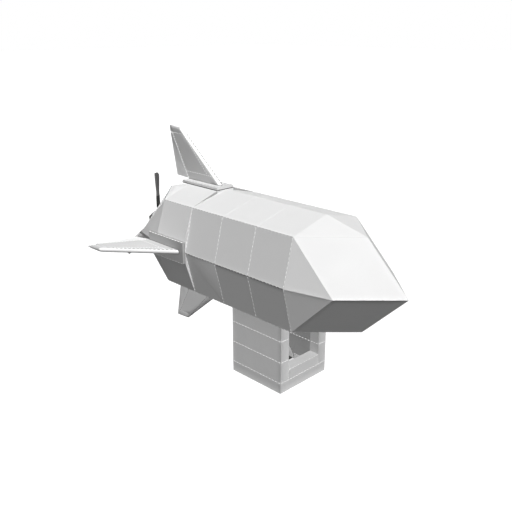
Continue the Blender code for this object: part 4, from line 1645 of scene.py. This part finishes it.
def baked(piece):
    """Replaces a piece's mesh by what its modifiers make of it."""
    graph = bpy.context.evaluated_depsgraph_get()
    mesh = bpy.data.meshes.new_from_object(piece.evaluated_get(graph))
    piece.modifiers.clear()
    old = piece.data
    piece.data = mesh
    bpy.data.meshes.remove(old)


def swell(piece):
    """Blows up a closed cloth shell a little, moving no point further than the travel."""
    scene = bpy.context.scene
    before = [vertex.co.copy() for vertex in piece.data.vertices]
    cloth = piece.modifiers.new("swelling", "CLOTH")
    cloth.settings.use_pressure = True
    cloth.settings.uniform_pressure_force = SWELL_PRESSURE
    cloth.settings.effector_weights.gravity = 0.0
    for step in range(1, SWELL_STEPS + 1):
        scene.frame_set(step)
    graph = bpy.context.evaluated_depsgraph_get()
    after = [vertex.co.copy() for vertex in piece.evaluated_get(graph).data.vertices]
    piece.modifiers.remove(cloth)
    scene.frame_set(1)
    for vertex, old, new in zip(piece.data.vertices, before, after):
        shift = new - old
        if shift.length > SWELL_TRAVEL:
            shift *= SWELL_TRAVEL / shift.length
        vertex.co = old + shift


def pad_outline(size, inset, corner, steps):
    """A rounded rectangle on the pad's plan, counter-clockwise."""
    points = []
    centres = ((size.x - corner, corner), (size.x - corner, size.y - corner),
               (corner, size.y - corner), (corner, corner))
    for quarter, (x, y) in enumerate(centres):
        for i in range(steps + 1):
            angle = 0.5 * pi * (quarter - 1 + i / steps)
            points.append((x + (corner - inset) * cos(angle), y + (corner - inset) * sin(angle)))
    return points


def pad_mesh(name, size, channels, across):
    """A stuffed pad on its bed, from the origin to size, with sewn channels on its upper side."""
    shape = bmesh.new()
    low = Vector((0.008, 0.008, 0.002))
    high = Vector((size.x - 0.008, size.y - 0.008, size.z - 0.012))
    rounded_slab(shape, low, high, 0.014, 3)
    mesh = bpy.data.meshes.new(name)
    shape.to_mesh(mesh)
    shape.free()
    pad = bpy.data.objects.new(name, mesh)
    bpy.context.scene.collection.objects.link(pad)
    remesh = pad.modifiers.new("even cloth", "REMESH")
    remesh.mode = "VOXEL"
    remesh.voxel_size = VOXEL
    baked(pad)
    swell(pad)
    finer = pad.modifiers.new("finer cloth", "SUBSURF")
    finer.levels = 1
    finer.render_levels = 1
    baked(pad)
    for vertex in pad.data.vertices:
        place = vertex.co
        for line in channels:
            distance = (place.x if across else place.y) - line
            if place.z > 0.4 * size.z and abs(distance) < 4.0 * CHANNEL_HALF:
                place.z -= CHANNEL_DEPTH * 2.718 ** (-(distance / CHANNEL_HALF) ** 2)
        place.z = max(0.0, place.z)
        place.x = min(max(place.x, 0.0), size.x)
        place.y = min(max(place.y, 0.0), size.y)
    return pad


def pad_piping(shape, pad, size, radius=0.0035):
    """Piping round the upper and lower edge of a pad, laid on its swollen surface."""
    tree = BVHTree.FromObject(pad, bpy.context.evaluated_depsgraph_get())
    for height in (0.22 * size.z, 0.80 * size.z):
        points = []
        for x, y in pad_outline(size, -0.01, 0.045, steps=8):
            place, normal, _, _ = tree.find_nearest(Vector((x, y, height)))
            points.append(place + normal * radius * 0.3)
        tube(shape, [*points, points[0]], radius)


def fit_pad(name, node, size, channels, across, matrix, cloth):
    """Puts a stuffed pad and its piping on the seat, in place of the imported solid."""
    pad = pad_mesh(name, size, channels, across)
    add_piece(f"{name}_piping", pad_piping, cloth, pad, size, turn=matrix, slot="seat_fabric",
              smooth=60.0)
    pad.data.transform(matrix)
    pad.data.materials.clear()
    pad.data.materials.append(cloth)
    pad.data.shade_smooth()
    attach(pad, "root")
    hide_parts(node)
    return pad


def ribbon(shape, points, normals, half, thickness=0.0022):
    """Flat webbing through points, lying across the normals."""
    rings = []
    for i, point in enumerate(points):
        ahead = (points[min(i + 1, len(points) - 1)] - points[max(i - 1, 0)]).normalized()
        side = ahead.cross(normals[i]).normalized()
        up = side.cross(ahead).normalized()
        section = ((-half, 0.0), (-half + 0.001, thickness), (half - 0.001, thickness), (half, 0.0))
        rings.append([point + side * across + up * rise for across, rise in section])
    loft(shape, rings)


def lay(trees, guide, lift):
    """The points of a guide line dropped onto the nearest of several surfaces, with their normals."""
    points = []
    normals = []
    for target in guide:
        hits = [tree.find_nearest(target) for tree in trees]
        place, normal, _, _ = min(hits, key=lambda hit: (hit[0] - target).length)
        points.append(place + normal * lift)
        normals.append(normal)
    return points, normals


def harness_buckle():
    """The place where the straps meet, over the rear of the cushion."""
    low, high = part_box("seat_cushion")
    return Vector((low.x + 0.10, 0.0, high.z + 0.01))


def harness_straps(shape, pads):
    """Shoulder and lap straps that lie on the pads and meet at a buckle."""
    graph = bpy.context.evaluated_depsgraph_get()
    trees = [BVHTree.FromObject(pad, graph) for pad in pads]
    seat_low, seat_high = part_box("seat_cushion")
    back_low, back_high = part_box("seat_back_pad")
    buckle = harness_buckle()
    for side in SIDES:
        top = Vector((back_low.x + 0.07, side * 0.09, back_high.z - 0.01))
        bend = Vector((back_high.x + 0.01, side * 0.05, back_low.z + 0.05))
        shoulder = [top.lerp(bend, i / 24) for i in range(25)]
        shoulder += [bend.lerp(buckle, i / 8) for i in range(1, 9)]
        hip = Vector((seat_low.x + 0.05, side * (seat_high.y - 0.005), seat_high.z + 0.01))
        lap = [hip.lerp(buckle, i / 16) for i in range(17)]
        for guide, lift in ((shoulder, 0.001), (lap, 0.002)):
            points, normals = lay(trees, guide, lift)
            ribbon(shape, smoothed(points), smoothed(normals), 0.022)


def buckle_plate(shape):
    """The harness's steel buckle."""
    buckle = harness_buckle()
    rounded_slab(shape, buckle - Vector((0.028, 0.035, 0.006)),
                 buckle + Vector((0.028, 0.035, 0.012)), 0.005)


def smoothed(vectors, passes=3):
    """Evens out a list of vectors, keeping its ends."""
    result = list(vectors)
    for _ in range(passes):
        inner = [(result[i - 1] + result[i] * 2.0 + result[i + 1]) / 4.0
                 for i in range(1, len(result) - 1)]
        result = [result[0]] + inner + [result[-1]]
    return result


def seat_edging(shape):
    """Rubber edging over the front of both side bolsters, from the pan up to the back."""
    for bolster in ("seat_port_bolster", "seat_starboard_bolster"):
        low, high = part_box(bolster)
        outline = ((high.x, low.z + 0.01), (high.x, 0.94), (high.x - 0.24, 1.26),
                   (high.x - 0.42, 1.32), (high.x - 0.47, 1.45))
        rings = []
        for i, (x, z) in enumerate(outline):
            before = Vector(outline[max(i - 1, 0)])
            after = Vector(outline[min(i + 1, len(outline) - 1)])
            along = (after - before).normalized()
            out = Vector((along.y, 0.0, -along.x))
            middle = Vector((x, (low.y + high.y) / 2, z))
            half = 0.3 * (high.y - low.y)
            section = ((-half, -0.006), (-half, 0.004), (-half + 0.004, 0.008), (half - 0.004, 0.008),
                       (half, 0.004), (half, -0.006))
            rings.append([middle + Vector((0.0, y, 0.0)) + out * rise for y, rise in section])
        loft(shape, rings)


class BLIMP_OT_seat(bpy.types.Operator):
    """Finishes the pilot's seat, with its stuffed pads, piping and harness"""
    bl_idname = "blimp.seat"
    bl_label = "Pilot's seat"

    def execute(self, context):
        look = context.scene.blimp_cabin
        shell = moulded_plastic("seat shell", look.seat_shell)
        cloth = upholstery("seat cloth", look.seat_cloth)
        strap_cloth = webbing("harness webbing", look.webbing)
        steel = turned_steel("buckle steel", 0.5)
        pads = ("seat_cushion", "seat_back_pad")
        dress([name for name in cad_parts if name.startswith("seat_") and name not in pads], shell)

        low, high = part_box("seat_cushion")
        size = high - low
        cushion = fit_pad("seat_cushion_padding", "seat_cushion", size, (size.y / 3, 2 * size.y / 3),
                          False, Matrix.Translation(low), cloth)

        low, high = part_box("seat_back_pad")
        lean_length = sqrt(1.0 + SEAT_BACK_LEAN ** 2)
        height = high.z - low.z
        thickness = (high.x - low.x - SEAT_BACK_LEAN * height) / lean_length
        size = Vector((height * lean_length, high.y - low.y, thickness))
        lines = [size.x * share for share in (0.2, 0.4, 0.6, 0.8)]
        up = Vector((-SEAT_BACK_LEAN, 0.0, 1.0)) / lean_length
        forward = Vector((1.0, 0.0, SEAT_BACK_LEAN)) / lean_length
        corner = Vector((high.x - thickness * forward.x, low.y, low.z))
        axes = Matrix((up, (0.0, 1.0, 0.0), forward)).transposed().to_4x4()
        back = fit_pad("seat_back_padding", "seat_back_pad", size, lines, True,
                       Matrix.Translation(corner) @ axes, cloth)

        add_piece("seat_bolster_edging", seat_edging, rubber("seat edging rubber", grey(0.03)),
                  slot="black_composite")
        add_piece("seat_harness", harness_straps, strap_cloth, (cushion, back), slot="seat_fabric",
                  smooth=50.0)
        add_piece("seat_harness_buckle", buckle_plate, steel, slot="bare_steel")
        return {"FINISHED"}


def gaiter(shape, base, radius, height):
    """A pleated rubber boot round a lever."""
    profile = [(0.0, radius)]
    folds = 4
    for i in range(folds):
        share = i / folds
        wide = radius * (1.0 - 0.55 * share)
        profile += [(height * (share + 0.04), wide), (height * (share + 0.14), wide - 0.006),
                    (height * (share + 0.22), wide - 0.007)]
    profile.append((height, 0.3 * radius))
    turned(shape, base, UP, profile, 32)


def console_plate(shape):
    """The console's top plate, with the dials' raised bezels."""
    margin = Vector((0.03, 0.03, 0.0))
    rounded_slab(shape, Vector((CONSOLE_LOW.x, CONSOLE_LOW.y, CONSOLE_HIGH.z - SINK)) + margin,
                 Vector((CONSOLE_HIGH.x, CONSOLE_HIGH.y, PLATE_TOP)) - margin, 0.0015)
    for centre in DIALS:
        profile = ((-SINK, DIAL), (0.006, DIAL), (0.009, DIAL - 0.003), (0.009, DIAL - 0.006),
                   (0.004, DIAL - 0.008))
        turned(shape, centre, UP, profile, 48)


def dial_marks(shape):
    """The marks and needles of the unlettered dials."""
    for centre in DIALS:
        face = centre + UP * 0.0045
        for i in range(11):
            angle = radians(225.0 - 27.0 * i)
            length = 0.008 if i % 5 == 0 else 0.005
            way = Vector((cos(angle), sin(angle), 0.0))
            near = face + way * (DIAL - 0.010 - length)
            ribbon(shape, [near, near + way * length], [UP, UP], 0.0006, 0.0004)
        needle = Vector((cos(radians(60.0)), sin(radians(60.0)), 0.0))
        foot = face + UP * 0.001 - needle * 0.006
        ribbon(shape, [foot, foot + needle * (DIAL - 0.012)], [UP, UP], 0.001, 0.0006)


def console_switches(shape):
    """Toggle switches behind the dials, and the screws of the plate."""
    for i in range(4):
        seat = Vector((CONSOLE_LOW.x + 0.19, CONSOLE_LOW.y + 0.07 + i * 0.065, PLATE_TOP))
        turned(shape, seat, UP, ((-SINK, 0.008), (0.004, 0.008), (0.005, 0.005)), 6)
        turned(shape, seat, (0.35, 0.0, 1.0),
               ((0.0, 0.0018), (0.016, 0.0024), (0.019, 0.0026), (0.021, 0.0014)), 10)
    for y in (CONSOLE_LOW.y + 0.042, CONSOLE_HIGH.y - 0.042):
        for place in row((CONSOLE_LOW.x + 0.045, y, PLATE_TOP),
                         (CONSOLE_HIGH.x - 0.045, y, PLATE_TOP), 0.2):
            stud(shape, place, UP, 0.005, 0.002)


def lever_boots(shape):
    """Pleated rubber boots at the feet of both levers."""
    for node, radius, height, _ in LEVERS:
        low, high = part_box(node)
        middle = (low + high) / 2
        gaiter(shape, Vector((middle.x, middle.y, PLATE_TOP)), radius, height)


def lever_grips(shape, ridges=8):
    """Ribbed rubber grips on the upper part of both levers."""
    for node, _, _, radius in LEVERS:
        low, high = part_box(node)
        middle = (low + high) / 2
        foot = lerp(CONSOLE_HIGH.z, high.z, 0.45)
        length = high.z - 0.75 * (high.y - low.y) - foot
        profile = [(0.0, 0.6 * radius), (0.004, radius)]
        for i in range(ridges):
            start = 0.008 + (length - 0.016) * i / ridges
            profile += [(start, radius - 0.001), (start + 0.3 * length / ridges, radius + 0.001)]
        profile += [(length - 0.004, radius), (length, 0.6 * radius)]
        turned(shape, Vector((middle.x, middle.y, foot)), UP, profile, 24)


class BLIMP_OT_console(bpy.types.Operator):
    """Fits the side console's plate, dials, switches, lever boots and grips"""
    bl_idname = "blimp.console"
    bl_label = "Side console"

    def execute(self, context):
        look = context.scene.blimp_cabin
        plastic = moulded_plastic("console plastic", look.console)
        dark_plastic = moulded_plastic("console plate", grey(0.04), 0.4)
        boot_rubber = rubber("lever boot rubber", grey(0.02))
        mark_paint = moulded_plastic("dial marks", grey(0.85))
        steel = turned_steel("switch steel", 0.55)
        dress(["side_console"], plastic)
        dress(["steering_stick", "throttle_lever"], steel)
        for name, build, finish, slot, smooth in (
                ("plate", console_plate, dark_plastic, "dark_composite", 35.0),
                ("dial_marks", dial_marks, mark_paint, "seat_shell", 35.0),
                ("switches", console_switches, steel, "bare_steel", 35.0),
                ("lever_boots", lever_boots, boot_rubber, "black_composite", 35.0),
                ("lever_grips", lever_grips, boot_rubber, "black_composite", 60.0)):
            add_piece(f"console_{name}", build, finish, slot=slot, smooth=smooth)
        return {"FINISHED"}


# Stage

AIM = Vector((-0.9975, -0.5065, 5.4913))
FLOOR_REACH = 400.0

# name, azimuth from +X towards +Y, elevation, strength on a surface that faces the light
LIGHTS = (("key", -49.0, 53.0, 0.93),
          ("front", 4.0, 12.0, 0.25),
          ("top", 41.0, 73.0, 0.30),
          ("rear", 150.0, 0.0, 0.35))
AMBIENT = 0.045
WHITE = (1.0, 1.0, 1.0, 1.0)


def aim_camera(scene, look):
    """The camera, turned to the middle of the blimp."""
    data = bpy.data.cameras.new("photo_camera")
    data.lens = look.focal_length
    data.clip_end = 2.0 * FLOOR_REACH
    camera = bpy.data.objects.new("photo_camera", data)
    back = Vector((sin(look.azimuth) * cos(look.elevation),
                   -cos(look.azimuth) * cos(look.elevation), sin(look.elevation)))
    camera.location = AIM + back * look.distance
    camera.rotation_euler = (-back).to_track_quat("-Z", "Y").to_euler()
    scene.collection.objects.link(camera)
    scene.camera = camera


def lay_floor(scene):
    """A wide pale floor that lights nothing itself."""
    mesh = bpy.data.meshes.new("studio_floor")
    corners = [(x * FLOOR_REACH, y * FLOOR_REACH, -SINK)
               for x, y in ((-1, -1), (1, -1), (1, 1), (-1, 1))]
    mesh.from_pydata(corners, [], [(0, 1, 2, 3)])
    pale = Finish("studio floor", 0.9, Specular_IOR_Level=0.0, Emission_Strength=0.62,
                  Base_Color=(*grey(0.55), 1.0), Emission_Color=WHITE)
    mesh.materials.append(pale.material)
    floor = bpy.data.objects.new("studio_floor", mesh)
    floor.visible_diffuse = False
    floor.visible_glossy = False
    scene.collection.objects.link(floor)


def hang_lights(scene, look):
    """The studio lights, each split into a part that casts soft shadows and one that casts none."""
    for name, azimuth, elevation, strength in LIGHTS:
        for label, share in (("soft", look.shadow_share), ("fill", 1.0 - look.shadow_share)):
            sun = bpy.data.lights.new(f"{name}_{label}", "SUN")
            sun.energy = pi * strength * share * look.brightness
            sun.angle = look.softness
            sun.use_shadow = label == "soft"
            lamp = bpy.data.objects.new(sun.name, sun)
            lamp.rotation_euler = (0.0, radians(90.0 - elevation), radians(azimuth))
            scene.collection.objects.link(lamp)


def pale_surroundings(scene):
    """White where the camera sees past the floor, and a faint light everywhere else."""
    world = bpy.data.worlds.new("studio surroundings")
    world.use_nodes = True
    tree = world.node_tree
    tree.nodes.clear()
    seen = add_node(tree, "ShaderNodeLightPath", {}, "Is Camera Ray")
    strength = remap(seen, 0.0, 1.0, AMBIENT, 1.0)
    background = add_node(tree, "ShaderNodeBackground", {"Strength": strength, "Color": WHITE})
    output = tree.nodes.new("ShaderNodeOutputWorld")
    tree.links.new(background.socket, output.inputs["Surface"])
    scene.world = world


class BLIMP_OT_stage(bpy.types.Operator):
    """Sets up the camera, the floor, the studio lights and the pale surroundings"""
    bl_idname = "blimp.stage"
    bl_label = "Studio stage"

    def execute(self, context):
        scene = context.scene
        scene.view_settings.view_transform = "Standard"
        aim_camera(scene, scene.blimp_stage)
        lay_floor(scene)
        hang_lights(scene, scene.blimp_stage)
        pale_surroundings(scene)
        return {"FINISHED"}


# Add-on

class BLIMP_PT_dressing(bpy.types.Panel):
    """Lists the steps that dress the blimp, with the sizes and colours they use"""
    bl_idname = "BLIMP_PT_dressing"
    bl_label = "Blimp Dressing"
    bl_space_type = "VIEW_3D"
    bl_region_type = "UI"
    bl_category = "Blimp"

    def draw(self, context):
        layout = self.layout
        for settings_name, group in SETTINGS:
            box = layout.box()
            settings = getattr(context.scene, settings_name)
            for key in group.__annotations__:
                box.prop(settings, key)
        for operator in STEPS:
            layout.operator(operator.bl_idname)


SETTINGS = (("blimp_envelope", BLIMP_PG_envelope), ("blimp_fins", BLIMP_PG_fins),
            ("blimp_propulsion", BLIMP_PG_propulsion), ("blimp_gondola", BLIMP_PG_gondola),
            ("blimp_cabin", BLIMP_PG_cabin), ("blimp_stage", BLIMP_PG_stage))
STEPS = (BLIMP_OT_stage, BLIMP_OT_envelope_fabric, BLIMP_OT_envelope_seams, BLIMP_OT_fins,
         BLIMP_OT_propulsion, BLIMP_OT_gondola, BLIMP_OT_seat, BLIMP_OT_console)


def register():
    for settings_name, group in SETTINGS:
        bpy.utils.register_class(group)
        setattr(bpy.types.Scene, settings_name, PointerProperty(type=group))
    for operator in STEPS:
        bpy.utils.register_class(operator)
    bpy.utils.register_class(BLIMP_PT_dressing)


def unregister():
    bpy.utils.unregister_class(BLIMP_PT_dressing)
    for operator in reversed(STEPS):
        bpy.utils.unregister_class(operator)
    for settings_name, group in reversed(SETTINGS):
        delattr(bpy.types.Scene, settings_name)
        bpy.utils.unregister_class(group)


def main():
    register()
    build_effects()
    for operator in STEPS:
        prefix, name = operator.bl_idname.split(".")
        getattr(getattr(bpy.ops, prefix), name)()


if __name__ == "__main__":
    main()
